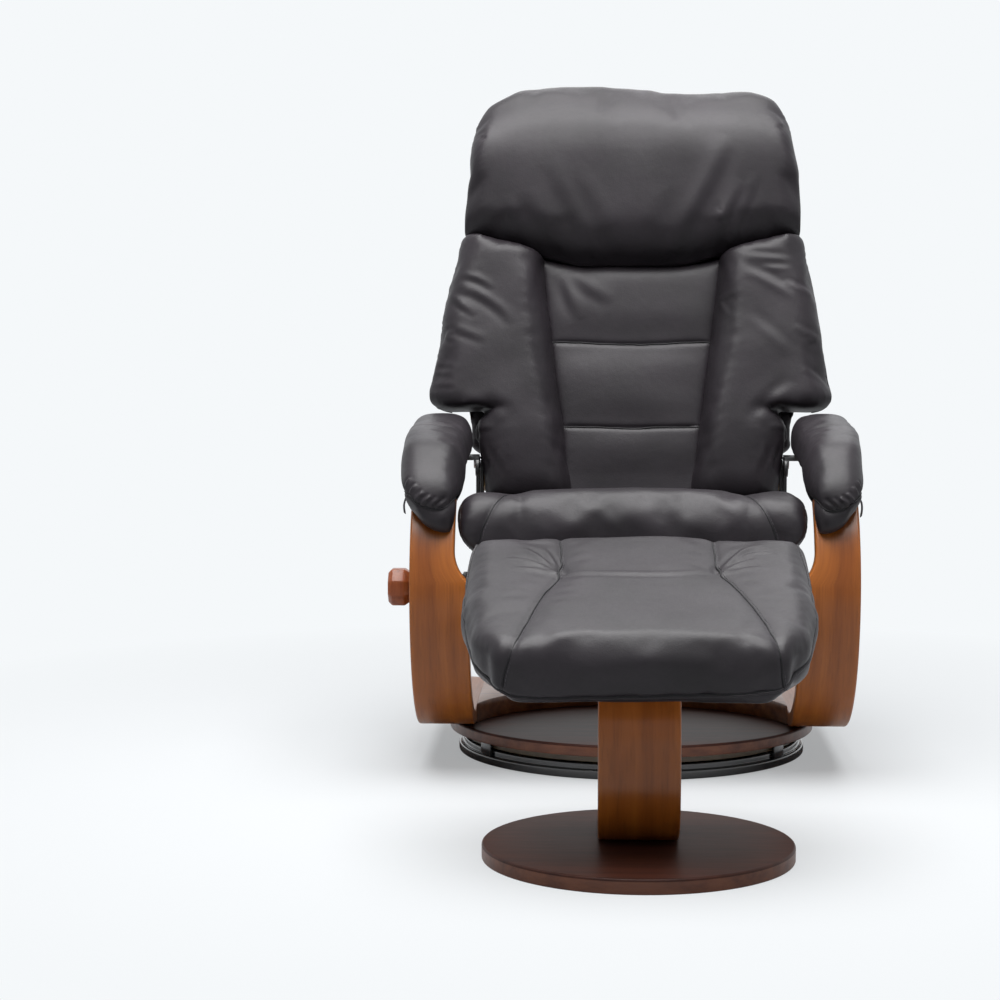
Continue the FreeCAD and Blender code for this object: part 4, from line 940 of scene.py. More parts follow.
class Crease:
    """A line on a cushion: a seam, a fold or the root of gathers."""

    STEP = 4.0

    def __init__(self, line: Array) -> None:
        """Keeps a dense line in the cushion's own millimetres.

        Args:
            line: The line's points.
        """
        self.line = line
        leaps = np.linalg.norm(np.diff(line, axis=0), axis=1)
        self.along = np.concatenate([[0.0], np.cumsum(leaps)])
        self.way = np.gradient(line, axis=0)
        self.way /= np.linalg.norm(self.way, axis=1)[:, None] + 1e-9

    @property
    def length(self) -> float:
        """The line's length."""
        return float(self.along[-1])

    @classmethod
    def smooth(cls, knots: Array) -> Array:
        """Catmull-Rom line through the knots, in even steps.

        Args:
            knots: The knots.

        Returns:
            The line's points.
        """
        if len(knots) < 3:
            count = max(3, int(np.linalg.norm(knots[-1] - knots[0]) / cls.STEP))
            return knots[0] + (knots[-1] - knots[0]) * np.linspace(0, 1, count)[:, None]
        ends = np.vstack([2 * knots[0] - knots[1], knots, 2 * knots[-1] - knots[-2]])
        line = []
        for a, b, c, d in zip(ends, ends[1:], ends[2:], ends[3:]):
            count = max(2, int(np.linalg.norm(c - b) / cls.STEP))
            t = np.linspace(0, 1, count, endpoint=False)[:, None]
            line.append(0.5 * (2 * b + (c - a) * t + (2 * a - 5 * b + 4 * c - d) * t ** 2
                               + (3 * b - a - 3 * c + d) * t ** 3))
        return np.vstack(line + [knots[-1:]])

    def near(self, points: Array, normals: Array, reach: float, depth: float = 30.0) -> tuple:
        """Points of a surface near the line.

        Args:
            points: The surface's points.
            normals: Their normals.
            reach: How far along the surface to look.
            depth: How far above or below the line the surface may lie.

        Returns:
            Their numbers, their distance from the line along the surface, how far along the line
            they are, and the side (+1 or -1) that they lie on.
        """
        margin = reach + depth
        low, high = self.line.min(0) - margin, self.line.max(0) + margin
        some = np.flatnonzero(((points > low) & (points < high)).all(1))
        if not len(some):
            return some, np.zeros(0), np.zeros(0), np.zeros(0)
        gap = points[some][:, None] - self.line[None]
        best = (gap ** 2).sum(2).argmin(1)
        gap = gap[np.arange(len(some)), best]
        way, normal = self.way[best], normals[some]
        above = (gap * normal).sum(1)
        flat = gap - normal * above[:, None]
        forward = (flat * way).sum(1)
        inside = (best > 0) & (best < len(self.line) - 1)
        flat = flat - way * (forward * inside)[:, None]
        away = np.linalg.norm(flat, axis=1)
        side = np.sign((np.cross(way, normal) * flat).sum(1))
        keep = (away < reach) & (np.abs(above) < depth)
        along = self.along[best[keep]] + forward[keep] * inside[keep]
        return some[keep], away[keep], along, side[keep]


class SoftForm:
    """Closed upholstered form, shaped in millimetres in its own frame.

    END_RUN is how far from a groove's end its depth starts to fall, and FRONT_OF_BACK lies in
    front of every cushion of the back.
    """
    END_RUN = 16.0
    FRONT_OF_BACK = -200.0

    def __init__(self, nodes: list[str], posture: Posture, voxel: float) -> None:
        """Starts from the CAD solids, remeshed to even squares.

        Args:
            nodes: The CAD nodes that it stands for.
            posture: Its own frame.
            voxel: Size of the squares in millimetres.
        """
        self.nodes = nodes
        self.posture = posture
        self.voxel = voxel
        self.tree_points: Array | None = None
        self.take(worked(copy_of_nodes(nodes), "REMESH", {
            "mode": "VOXEL", "voxel_size": voxel * MM}))

    def take(self, mesh: Mesh) -> None:
        """Reads points and square faces back from a mesh, which is removed.

        Args:
            mesh: The mesh.
        """
        self.points = self.posture.to_own(points_of(mesh))
        corners = np.empty(len(mesh.loops), np.int32)
        mesh.loops.foreach_get("vertex_index", corners)
        self.faces = corners.reshape(-1, 4)
        pairs = np.sort(np.concatenate([
            self.faces[:, [i, (i + 1) % 4]] for i in range(4)]), axis=1)
        self.edges = np.unique(pairs, axis=0)
        bpy.data.meshes.remove(mesh)

    def mesh(self) -> Mesh:
        """The form as a mesh in the chair's frame."""
        return new_mesh("form", self.posture.to_chair(self.points), self.faces)

    def normals(self) -> Array:
        """Outward normals of the points.

        Returns:
            One normal for each point.
        """
        a, b, c, d = (self.points[self.faces[:, i]] for i in range(4))
        flat = np.cross(c - a, d - b)
        total = np.stack([
            np.bincount(self.faces.ravel(), np.repeat(flat[:, axis], 4), len(self.points))
            for axis in range(3)], 1)
        return total / (np.linalg.norm(total, axis=1)[:, None] + 1e-9)

    def relax(self, rounds: int, share: float = 0.5, back: float = 0.52) -> "SoftForm":
        """Evens the surface out and keeps its size.

        Args:
            rounds: How often.
            share: How far each point goes towards its neighbours' middle.
            back: How far it then goes back out.

        Returns:
            The form.
        """
        a, b = self.edges.T
        count = np.bincount(self.edges.ravel(), minlength=len(self.points))[:, None]
        for _ in range(rounds):
            for step in (share, -back):
                total = np.stack([
                    np.bincount(a, self.points[b, axis], len(self.points))
                    + np.bincount(b, self.points[a, axis], len(self.points))
                    for axis in range(3)], 1)
                self.points = self.points + step * (total / count - self.points)
                if not back:
                    break
        return self

    def swell(self, height: float) -> "SoftForm":
        """Moves the whole surface out by a height."""
        self.points = self.points + self.normals() * height
        return self

    def shift(self, rule: Callable[[Array], Array]) -> "SoftForm":
        """Adds a rule's offsets, worked out from the points."""
        self.points = self.points + rule(self.points)
        return self

    def uneven(self, height: float, length: float, seed: float) -> "SoftForm":
        """Gives the surface soft unevenness.

        Args:
            height: Largest rise in millimetres.
            length: Distance between rises.
            seed: Where the noise is read.

        Returns:
            The form.
        """
        rise = np.array([noise.noise(Vector(p) / length + Vector((seed, seed, 0)))
                         for p in self.points])
        self.points = self.points + self.normals() * (height * rise)[:, None]
        return self

    def tree(self) -> BVHTree:
        """The surface for rays and nearest points.

        Returns:
            The search tree.
        """
        if self.tree_points is not self.points:
            self.tree_points = self.points
            self.surface = BVHTree.FromPolygons(self.points.tolist(), self.faces.tolist())
        return self.surface

    def crease(self, *knots: tuple, way: "tuple[float, float, float] | None" = None) -> Crease:
        """Lays a smooth line on the surface.

        Args:
            knots: Its points; two numbers stand for x and height on the front of the back.
            way: Direction in which the points are dropped; None takes the nearest place.

        Returns:
            The line.
        """
        if len(knots[0]) == 2:
            way = (0, 1, 0)
            knots = tuple((x, self.FRONT_OF_BACK, h) for x, h in knots)
        tree, line = self.tree(), []
        for spot in Crease.smooth(np.array(knots, float)):
            hit = tree.ray_cast(Vector(spot), Vector(way))[0] if way else None
            line.append(hit if hit is not None else tree.find_nearest(Vector(spot))[0])
        return Crease(eased_line(np.array(line)))

    def move(self, index: Array, offset: Array) -> None:
        """Moves some points.

        Args:
            index: Which points.
            offset: How far each one moves.
        """
        points = self.points.copy()
        points[index] += offset
        self.points = points

    def press(self, crease: Crease, width: float, depth: float, snap: float = 0.0,
              open_ends: bool = True, ends: float = 1.0) -> "SoftForm":
        """Draws the surface in along a line, or out where depth is negative.

        Args:
            crease: The line.
            width: Half width of the groove or ridge.
            depth: Its depth on the line.
            snap: Points nearer than this come onto the line, for a crisp groove.
            open_ends: Whether the groove runs on to its ends.
            ends: Share of the depth at its ends.

        Returns:
            The form.
        """
        normals = self.normals()
        index, away, along, _ = crease.near(self.points, normals, width * 2.6)
        amount = depth * np.exp(-(away / width) ** 2)
        if not open_ends:
            amount = amount * np.sin(math.pi * np.clip(along / crease.length, 0, 1)) ** 0.8
        inner = np.clip(np.minimum(along, crease.length - along) / self.END_RUN, 0, 1)
        amount = amount * (ends + (1 - ends) * inner)
        self.move(index, -normals[index] * amount[:, None])
        if snap > 0:
            close = index[away < snap]
            spot = self.points[close]
            best = ((spot[:, None] - crease.line[None]) ** 2).sum(2).argmin(1)
            gap = crease.line[best] - spot
            normal, way = normals[close], crease.way[best]
            gap -= normal * (gap * normal).sum(1)[:, None]
            gap -= way * (gap * way).sum(1)[:, None]
            self.move(close, gap * 0.9)
        return self

    def fold(self, crease: Crease, width: float, height: float, side: int = 1,
             root: float = 0.0) -> "SoftForm":
        """Raises a soft fold with a valley beside it.

        Args:
            crease: The fold's ridge.
            width: Its half width.
            height: Its height.
            side: The side of the valley, +1 or -1.
            root: Share of the height that it still has where it starts.

        Returns:
            The form.
        """
        normals = self.normals()
        index, away, along, where = crease.near(self.points, normals, width * 4)
        across = away * where * side
        valley = np.exp(-((across - width * 1.5) / (width * 0.9)) ** 2)
        shape = np.exp(-(across / width) ** 2) - 0.75 * valley
        share = np.clip(along / crease.length, 0, 1)
        run = np.maximum(np.sin(math.pi * share) ** 0.9, root * (1 - share) ** 0.7)
        ends = np.exp(-(np.maximum(0, away - width * 3) / width) ** 2)
        self.move(index, normals[index] * (height * shape * run * ends)[:, None])
        return self

    def gather(self, crease: Crease, reach: float, height: float, pitch: float,
               skew: float = 0.0, seed: float = 0.0) -> "SoftForm":
        """Adds puckers that run away from a line.

        Args:
            crease: The line that they start from.
            reach: How far they run.
            height: Their height at the line.
            pitch: Distance from one to the next.
            skew: How far they lean along the line for each millimetre away from it.
            seed: Shifts their pattern.

        Returns:
            The form.
        """
        normals = self.normals()
        index, away, along, _ = crease.near(self.points, normals, reach * 2)
        place = (along + skew * away) / pitch
        wave = np.abs(np.cos(math.pi * (place + 0.35 * np.sin(place * 1.9 + seed)))) - 0.62
        strength = 0.6 + 0.4 * np.sin(place * 1.3 + seed * 2.1)
        ends = np.clip(np.minimum(along, crease.along[-1] - along) / pitch, 0, 1)
        fall = np.exp(-(away / reach) ** 1.5) * ends
        self.move(index, normals[index] * (height * wave * strength * fall)[:, None])
        return self

    def finer(self) -> "SoftForm":
        """Splits every square in four on a smooth surface.

        Returns:
            The form.
        """
        self.take(worked(self.mesh(), "SUBSURF", {"levels": 1, "render_levels": 1}))
        self.voxel /= 2
        return self

    def inflate(self, pinned: Array, cap: float, pressure: float = 4.0,
                frames: int = 20) -> "SoftForm":
        """Blows the cover up as cloth that is sewn down where it is pinned.

        Args:
            pinned: From 0 to 1 for each point.
            cap: How far a point may move, in millimetres.
            pressure: Air pressure of the cloth.
            frames: Steps of the simulation.

        Returns:
            The form.
        """
        holder = linked("cover", self.mesh())
        scene = bpy.context.scene
        group = holder.vertex_groups.new(name="sewn")
        pins = np.round(pinned, 1)
        for level in np.unique(pins[pins > 0]):
            group.add(np.flatnonzero(pins == level).tolist(), float(level), "REPLACE")
        cloth = holder.modifiers.new("cloth", "CLOTH")
        settings = cloth.settings
        settings.quality = 5
        settings.mass = 0.3
        settings.tension_stiffness = settings.compression_stiffness = 12
        settings.shear_stiffness = 6
        settings.bending_stiffness = 1.2
        settings.air_damping = 2
        settings.effector_weights.gravity = 0
        settings.use_pressure = True
        settings.uniform_pressure_force = pressure
        settings.vertex_group_mass = "sewn"
        settings.shrink_min = -0.02
        cloth.collision_settings.use_collision = False
        cloth.point_cache.frame_end = frames
        for step in range(1, frames + 1):
            scene.frame_set(step)
        result = holder.evaluated_get(bpy.context.evaluated_depsgraph_get()).to_mesh()
        moved = self.posture.to_own(points_of(result)) - self.points
        scene.frame_set(1)
        mesh = holder.data
        bpy.data.objects.remove(holder)
        bpy.data.meshes.remove(mesh)
        length = np.linalg.norm(moved, axis=1)[:, None]
        moved *= np.minimum(1, cap / (length + 1e-9))
        self.points = self.points + moved
        return self

    def sewn(self, creases: list[Crease], width: float) -> Array:
        """Pins the cloth along lines.

        Args:
            creases: The lines that are sewn down.
            width: Where the pins fade to 0.

        Returns:
            From 0 to 1 for each point.
        """
        pins = np.zeros(len(self.points))
        normals = self.normals()
        for crease in creases:
            index, away, _, _ = crease.near(self.points, normals, width)
            pins[index] = np.maximum(pins[index], 1 - (away / width) ** 2)
        return pins

    def traced(self, crease: Crease, sideways: float = 0.0, lift: float = 0.0) -> Array:
        """The line laid on the surface, in the chair's metres.

        Args:
            crease: The line.
            sideways: How far beside it.
            lift: How far above the surface.

        Returns:
            Its points.
        """
        tree = self.tree()
        spots = []
        for spot, way in zip(crease.line, crease.way):
            hit, normal, _, _ = tree.find_nearest(Vector(spot))
            if sideways:
                beside = Vector(way).cross(normal).normalized() * sideways
                hit, normal, _, _ = tree.find_nearest(hit + beside)
            spots.append(hit + normal * lift)
        return self.posture.to_chair(eased_line(np.array(spots)))


class Seams:
    """Collects the dark seam lines, painted shade in each seam's groove, and the welts and stitches
    of one body, and makes one mesh of each.

    Radii of the seam's dark tube, painted shade in its gap, and of the welt, then the welt's and
    the stitches' distance from the seam and their lift, then the stitches' pitch, length and thread
    radius, all in millimetres.
    """
    GAP_SHADE_R = 1.45
    WELT_R = 1.9
    WELT_AT = (2.6, 0.6)
    ROW_AT = (-4.5, 0.1)
    PITCH = 6.5
    STITCH = 4.6
    THREAD_R = 0.55

    def __init__(self, workshop: Workshop, body: str) -> None:
        """Starts with no lines.

        Args:
            workshop: Makes the pieces.
            body: The body that they ride on.
        """
        self.workshop = workshop
        self.body = body
        # Lines of the dark tubes painted as shade in the seams' grooves.
        self.shade_gaps: list[Array] = []
        self.welts: list[Array] = []
        self.rows: list[Array] = []

    def seam(self, form: SoftForm, crease: Crease, welt: bool = False,
             stitched: bool = True) -> None:
        """Adds a seam.

        Args:
            form: The finished cushion.
            crease: The seam's line.
            welt: Whether a welt stands up beside it.
            stitched: Whether a row of stitches runs beside it.
        """
        self.shade_gaps.append(form.traced(crease))
        if welt:
            self.welts.append(form.traced(crease, *self.WELT_AT))
        if stitched:
            self.rows.append(form.traced(crease, *self.ROW_AT))

    def finish(self) -> None:
        """Bakes the lines."""
        finishes = self.workshop.finishes
        # Dark tubes along the seams: painted shade in their grooves.
        if self.shade_gaps:
            mesh = WeltRecipe(finishes.seam).baked(
                chain_mesh(self.shade_gaps), {"Radius": self.GAP_SHADE_R * MM})
            self.workshop.piece(self.body + "_seam_shade_lines", mesh, None, self.body, "leather")
        if self.welts:
            mesh = WeltRecipe(finishes.welt).baked(
                chain_mesh(self.welts), {"Radius": self.WELT_R * MM})
            self.workshop.piece(self.body + "_welts", mesh, None, self.body, "leather")
        if self.rows:
            mesh = StitchRecipe(finishes.thread).baked(chain_mesh(self.rows), {
                "Pitch": self.PITCH * MM, "Stitch": self.STITCH * MM, "Thread": self.THREAD_R * MM})
            self.workshop.piece(self.body + "_stitches", mesh, None, self.body, "leather",
                                smooth_angle=50)


# Turned and bent pieces

@dataclass(frozen=True)
class Corner:
    """A corner of a turned piece's outline: radius from the axis, height and rounding."""
    r: float
    z: float
    round: float = 0.0


def rounded_outline(corners: list[Corner], steps: int = 5) -> list[tuple[float, float, int]]:
    """Closed outline with its corners rounded off.

    Args:
        corners: The corners in order.
        steps: Points of each rounding.

    Returns:
        Rows (radius, height, number of the corner).
    """
    rows = []
    for i, corner in enumerate(corners):
        here = np.array([corner.r, corner.z])
        before = np.array([corners[i - 1].r, corners[i - 1].z]) - here
        after_corner = corners[(i + 1) % len(corners)]
        after = np.array([after_corner.r, after_corner.z]) - here
        if corner.round <= 0:
            rows.append((corner.r, corner.z, i))
            continue
        before, after = before / np.linalg.norm(before), after / np.linalg.norm(after)
        for step in range(steps + 1):
            share = step / steps
            start, end = here + before * corner.round, here + after * corner.round
            spot = (1 - share) ** 2 * start + 2 * share * (1 - share) * here + share ** 2 * end
            rows.append((float(spot[0]), float(spot[1]), i))
    return rows


def turned(corners: list[Corner], centre_y: float, sides: int,
           rim: tuple[int, ...] = ()) -> Mesh:
    """Turned piece around a vertical axis.

    Args:
        corners: The closed outline; a radius of 0 closes it on the axis.
        centre_y: Where the axis stands.
        sides: Faces around.
        rim: Corners whose following faces take the second material.

    Returns:
        The mesh.
    """
    rows = rounded_outline(corners)
    shape = bmesh.new()
    rings = []
    for r, z, _ in rows:
        if r <= 0:
            rings.append([shape.verts.new((0, centre_y * MM, z * MM))])
            continue
        rings.append([
            shape.verts.new((r * MM * math.cos(a), centre_y * MM + r * MM * math.sin(a), z * MM))
            for a in (math.tau * k / sides for k in range(sides))])
    for place, (ring, after) in enumerate(zip(rings, rings[1:] + rings[:1])):
        if len(ring) == len(after) == 1:
            continue
        for k in range(sides):
            j = (k + 1) % sides
            corners_of_face = (
                [ring[0], after[j], after[k]] if len(ring) == 1 else
                [ring[k], ring[j], after[0]] if len(after) == 1 else
                [ring[k], ring[j], after[j], after[k]])
            face = shape.faces.new(corners_of_face)
            face.material_index = int(rows[place][2] in rim)
    bmesh.ops.recalc_face_normals(shape, faces=shape.faces[:])
    mesh = bpy.data.meshes.new("turned")
    shape.to_mesh(mesh)
    shape.free()
    return mesh


@dataclass(frozen=True)
class CPath:
    """Side view of a bent strip: a C open to the rear, from its foot to its top end."""
    front: float
    foot_z: float
    foot_end: float
    low_r: float
    straight: float
    top_r: float
    rise: float
    top_end: float

    def line(self, inset: float, step: float = 5.0) -> Array:
        """Follows the strip's side view.

        Args:
            inset: Distance from the strip's outer face.
            step: Distance of the points.

        Returns:
            Points (0, y, z) in metres.
        """
        low, top = self.low_r - inset, self.top_r - inset
        low_z = self.foot_z + self.low_r
        rise = math.radians(self.rise)
        points = [(self.foot_end, self.foot_z + inset)]

        def arc(cy: float, cz: float, radius: float, start: float, end: float) -> None:
            """Adds an arc; angles are measured from -Y towards +Z."""
            for a in np.linspace(start, end, max(6, int(radius * abs(end - start) / step))):
                points.append((cy - radius * math.cos(a), cz + radius * math.sin(a)))
        arc(self.front + self.low_r, low_z, low, -math.pi / 2, 0)
        arc(self.front + self.top_r, low_z + self.straight, top, 0, math.pi / 2 - rise)
        y, z = points[-1]
        points.append((self.top_end, z + (self.top_end - y) * math.tan(rise)))
        dense = [points[0]]
        for a, b in zip(points, points[1:]):
            count = max(1, int(math.dist(a, b) / step))
            dense += [(a[0] + (b[0] - a[0]) * k / count, a[1] + (b[1] - a[1]) * k / count)
                      for k in range(1, count + 1) if math.dist(a, b) > 0.01]
        return np.array([(0, y, z) for y, z in dense]) * MM


def disc_mesh(radius: float, low: float, high: float, centre_y: float, sides: int,
              edges: tuple[float, float], finishes: tuple = ()) -> Mesh:
    """Turned disc with eased edges.

    Args:
        radius: Its radius.
        low, high: Heights of its two faces.
        centre_y: Where its axis stands.
        sides: Faces around.
        edges: Rounding of the lower and the upper edge.
        finishes: Materials of the faces and of the rim, where it has two.

    Returns:
        The mesh.
    """
    mesh = turned([Corner(0, low), Corner(radius, low, edges[0]), Corner(radius, high, edges[1]),
                   Corner(0, high)], centre_y, sides, rim=(1,) if finishes else ())
    for finish in finishes:
        mesh.materials.append(finish)
    return mesh


def mirrored(mesh: Mesh) -> Mesh:
    """Copies a mesh to the other side of the chair, its faces still outward.

    Args:
        mesh: The mesh, which stays.

    Returns:
        The copy.
    """
    def flip(shape: bmesh.types.BMesh) -> None:
        """Moves the points across and turns the faces round.

        Args:
            shape: The mesh that is turned round.
        """
        for vert in shape.verts:
            vert.co.x = -vert.co.x
        bmesh.ops.reverse_faces(shape, faces=shape.faces[:])
    return edited(mesh.copy(), flip)


class Fasteners:
    """Screws and bolts of the CAD nodes, made again with domed heads."""

    def __init__(self, workshop: Workshop) -> None:
        """Keeps the workshop and makes the recipe."""
        self.workshop = workshop
        self.recipe = ScrewRecipe(workshop.finishes)

    @staticmethod
    def islands(node: str) -> list[Array]:
        """Finds a node's separate solids.

        Args:
            node: The CAD node.

        Returns:
            The points of each solid, in metres.
        """
        shape = bmesh.new()
        mesh = copy_of_nodes([node])
        shape.from_mesh(mesh)
        bpy.data.meshes.remove(mesh)
        found, seen = [], set()
        for start in shape.verts:
            if start.index in seen:
                continue
            group, queue = [], [start]
            seen.add(start.index)
            while queue:
                vert = queue.pop()
                group.append(tuple(vert.co))
                for edge in vert.link_edges:
                    other = edge.other_vert(vert)
                    if other.index not in seen:
                        seen.add(other.index)
                        queue.append(other)
            found.append(np.array(group))
        shape.free()
        return found

    def remake(self, node: str, body: str) -> None:
        """Replaces a node of screws by domed ones at the same places.

        Args:
            node: The CAD node.
            body: The body that it rides on.
        """
        heads, aims, sizes = [], [], []
        for points in self.islands(node):
            middle = points.mean(0)
            _, _, axes = np.linalg.svd(points - (points.min(0) + points.max(0)) / 2)
            axis = axes[0]
            along = (points - middle) @ axis
            axial = points - middle - along[:, None] * axis
            off = np.linalg.norm(axial - axial.mean(0), axis=1)
            head = off > off.max() * 0.8
            if along[head].mean() < 0:
                axis, along = -axis, -along
            under = along[head].min()
            centre = middle + axial.mean(0)
            heads.append(centre + axis * under)
            aims.append(axis)
            sizes.append((off.max(), along.max() - under, under - along.min()))
        radius, height, length = np.array(sizes).mean(0)
        mesh = self.recipe.baked(
            chain_mesh([row[None] for row in heads], [row[None] for row in aims]),
            {"Head Radius": float(radius), "Head Height": float(height), "Length": float(length)})
        self.workshop.piece(node + "_domed", mesh, None, body, "screw_steel", (node,),
                            smooth_angle=35)


# Sub-assemblies

@dataclass
class SwivelBase:
    """Black floor ring with its guides and the swivel plates under the chair."""
    workshop: Workshop
    ring_r: float = 309.0
    ring_width: float = 26.0
    foot_height: float = 15.0
    height: float = 25.0
    shoulder: float = 8.0

    def build(self) -> None:
        """Makes the ring and dresses what it carries."""
        f = self.workshop.finishes
        inner, step = self.ring_r - self.ring_width, self.ring_r - self.shoulder
        mesh = turned([
            Corner(inner, 0, 1), Corner(self.ring_r, 0, 2),
            Corner(self.ring_r, self.foot_height, 3.5), Corner(step, self.foot_height, 1.5),
            Corner(step, self.height, 3), Corner(inner, self.height, 2),
        ], 0, 192)
        self.workshop.piece("floor_ring_turned", mesh, f.ring, "base", "ring_black",
                            ("floor_ring",), smooth_angle=40)
        self.workshop.eased("ring_guides", f.ring, "base", "ring_black", 0.8)
        self.workshop.eased("ring_spokes", f.bracket, "base", "ring_black", 1.0)
        self.workshop.repaint(f.steel, "swivel_plate_lower", "swivel_plate_upper")
        self.workshop.repaint(f.glide, "glide_ring")


@dataclass
class WoodenBase:
    """The two discs, the cross board and the front rail."""
    workshop: Workshop
    lower_r: float = 298.0
    lower_z: tuple[float, float] = (27.0, 41.0)
    disc_r: float = 325.0
    disc_z: tuple[float, float] = (41.0, 61.0)

    def build(self) -> None:
        """Makes the discs and eases the boards."""
        f = self.workshop.finishes
        mesh = disc_mesh(self.lower_r, *self.lower_z, 0, 160, (1.5, 1.5))
        self.workshop.piece("lower_disc_turned", mesh, f.lower_disc, "chair_frame",
                            "lower_disc_wood", ("base_disc_lower",), smooth_angle=35)
        mesh = disc_mesh(self.disc_r, *self.disc_z, 0, 192, (2, 4), (f.walnut, f.walnut_rim))
        self.workshop.piece("disc_turned", mesh, None, "chair_frame", "walnut", ("base_disc",),
                            smooth_angle=35)
        self.workshop.eased("cross_board", f.board, "chair_frame", "board_wood", 2.0)
        self.workshop.eased("front_rail", f.rail, "chair_frame", "board_wood", 1.5)
        self.workshop.repaint(f.beech, "rail_dowels")


@dataclass
class BentArms:
    """The two bentwood C arms."""
    workshop: Workshop
    path: CPath = CPath(-360, 61, 250, 258, 0, 210, 3.5, 115)
    thickness: float = 25.0
    inner_x: float = 272.0
    outer_x: float = 371.0
    shoulder_z: float = 337.0
    shoulder_run: float = 51.0
    step: float = 25.0
    foot_r: float = 30.0

    def build(self) -> None:
        """Bends one strip and mirrors it."""
        recipe = StripRecipe(self.workshop.finishes.bentwood)
        rail = self.path.line(self.thickness / 2)
        rail[:, 0] = (self.inner_x + self.outer_x) / 2 * MM
        right = recipe.baked(chain_mesh([rail]), {
            "Width": (self.outer_x - self.inner_x) * MM, "Thickness": self.thickness * MM,
            "Edge Radius": 4 * MM, "Inner X": self.inner_x * MM,
            "Shoulder Height": self.shoulder_z * MM, "Shoulder Run": self.shoulder_run * MM,
            "Step": self.step * MM, "Foot Radius": self.foot_r * MM})
        left = mirrored(right)
        for side, mesh in ((Side.RIGHT, right), (Side.LEFT, left)):
            self.workshop.piece("bentwood_arm_" + side.word, mesh, None, "chair_frame", "bentwood",
                                ("arm_frame_" + side.word,), smooth_angle=40)


@dataclass
class ArmPads:
    """Padded sleeves on the arms, gathered above a front seam, and their pull tabs."""
    workshop: Workshop
    voxel: float = 5.0

    def build(self) -> None:
        """Makes both pads."""
        seams = Seams(self.workshop, "chair_frame")
        for side in Side:
            k = side.value
            form = SoftForm(["arm_pad_" + side.word], Posture(), self.voxel)
            form.relax(30, 0.5, 0).swell(3.5).relax(20, 0.5, 0).swell(1.5).relax(40)
            form.shift(lambda points: self.fitted(points, side)).relax(8, 0.5, 0)
            held = (np.abs(form.points[:, 0]) < 300) * 1.0 + (form.points[:, 2] < 440)
            form.inflate(held, 3, 2.5)
            form.relax(4, 0.5, 0).finer()
            hem = form.crease(*((k * x, y, z) for x, y, z in (
                (386, -250, 478), (386, -300, 483), (384, -330, 486), (377, -350, 483),
                (366, -362, 470), (354, -366, 461), (336, -368, 456), (317, -366, 457),
                (305, -358, 464), (297, -330, 474), (294, -290, 470))))
            pleats = [form.crease(*((k * (x - lean * t), y, z + t) for t in (0, 8, 17)))
                      for x, y, z, lean in (
                          (381, -342, 496, 0.7), (373, -356, 487, 0.8), (362, -366, 476, 0.9),
                          (350, -368, 468, 1.0), (336, -370, 463, 1.1), (321, -370, 462, 1.2))]
            form.press(hem, 12, 2.6)
            for turn, pleat in enumerate(pleats):
                form.fold(pleat, 3.4, 2.1 + 0.5 * (turn % 2), side=k, root=0.7)
            form.press(hem, 3.6, 1.8, snap=1.4)
            form.uneven(1.0, 60, 3 + k)
            seams.seam(form, hem, stitched=False)
            self.workshop.piece("arm_pad_" + side.word + "_leather", form.mesh(),
                                self.workshop.finishes.leather, "chair_frame", "leather",
                                ("arm_pad_" + side.word,), fill=0.7)
        seams.finish()
        self.tabs()

    def tabs(self) -> None:
        """Pull tabs that hang from the pads' outer hems."""
        paths = {
            Side.LEFT: [(372, 482), (377, 479), (381, 472), (384, 461), (383, 449), (381, 446)],
            Side.RIGHT: [(372, 474), (375, 471), (377, 465), (377.5, 456), (376, 446),
                         (374.5, 443)],
        }
        half_width, half_thick, middle, sides = 5.0, 1.5, -295.0, 16
        turns = np.arange(sides) * math.tau / sides
        section = np.stack([np.cos(turns), np.sin(turns)], 1)
        section = np.sign(section) * np.abs(section) ** 0.6
        points, faces = [], []
        for side in Side:
            spots = [(side.value * x, middle, z) for x, z in paths[side]]
            path = Crease.smooth(np.array(spots, float))
            way = np.gradient(path, axis=0)
            way /= np.linalg.norm(way, axis=1)[:, None]
            out = np.stack([way[:, 2], 0 * way[:, 0], -way[:, 0]], 1)
            slim = np.clip(np.linspace(0, 6, len(path))[::-1], 0.35, 1)[:, None, None]
            ring = (path[:, None] + slim * half_thick * section[None, :, :1] * out[:, None]
                    + slim * half_width * section[None, :, 1:] * np.array([0, 1, 0]))
            start = len(points) * sides
            points += list(ring)
            last = (len(points) - 1) * sides
            for row in range(start, last, sides):
                for j in range(sides):
                    a, b = row + j, row + (j + 1) % sides
                    faces.append((a, b, b + sides, a + sides))
            faces.append(tuple(range(start, start + sides))[::-1])
            faces.append(tuple(range(last, last + sides)))
        mesh = edited(new_mesh("straps", np.concatenate(points) * MM, faces),
                      lambda shape: bmesh.ops.recalc_face_normals(shape, faces=shape.faces[:]))
        self.workshop.piece("arm_pad_straps", mesh, self.workshop.finishes.tab, "chair_frame",
                            "tab_plastic", ("arm_pad_tabs",))

    def fitted(self, points: Array, side: Side) -> Array:
        """Offsets that flare the pad at its rear top, slim its front and raise its outer hem.

        Args:
            points: The pad's points.
            side: The side of the chair.

        Returns:
            The offsets.
        """
        k = side.value
        x, z = np.abs(points[:, 0]), points[:, 2]
        slim = {Side.LEFT: [-6, -4, 0, 1, 4, 9, 9], Side.RIGHT: [-12, -12, -12, -9, -3, 7, 9]}[side]
        outer = np.interp(z, [460, 480, 520, 545, 560, 575, 590], slim)
        inner = np.interp(z, [490, 510, 545, 590], [0, 3, 8, 9])
        share = np.clip((x - 300) / 70, 0, 1)
        out = outer * share + inner * (1 - share)
        lift = np.interp(x, [298, 312, 338, 354, 370, 381, 390], [-12, -9, -3, 7, 24, 36, 40])
        rise = lift * np.clip((482 - z) / 48, 0, 1)
        return np.stack([k * out, 0 * z, rise], 1)


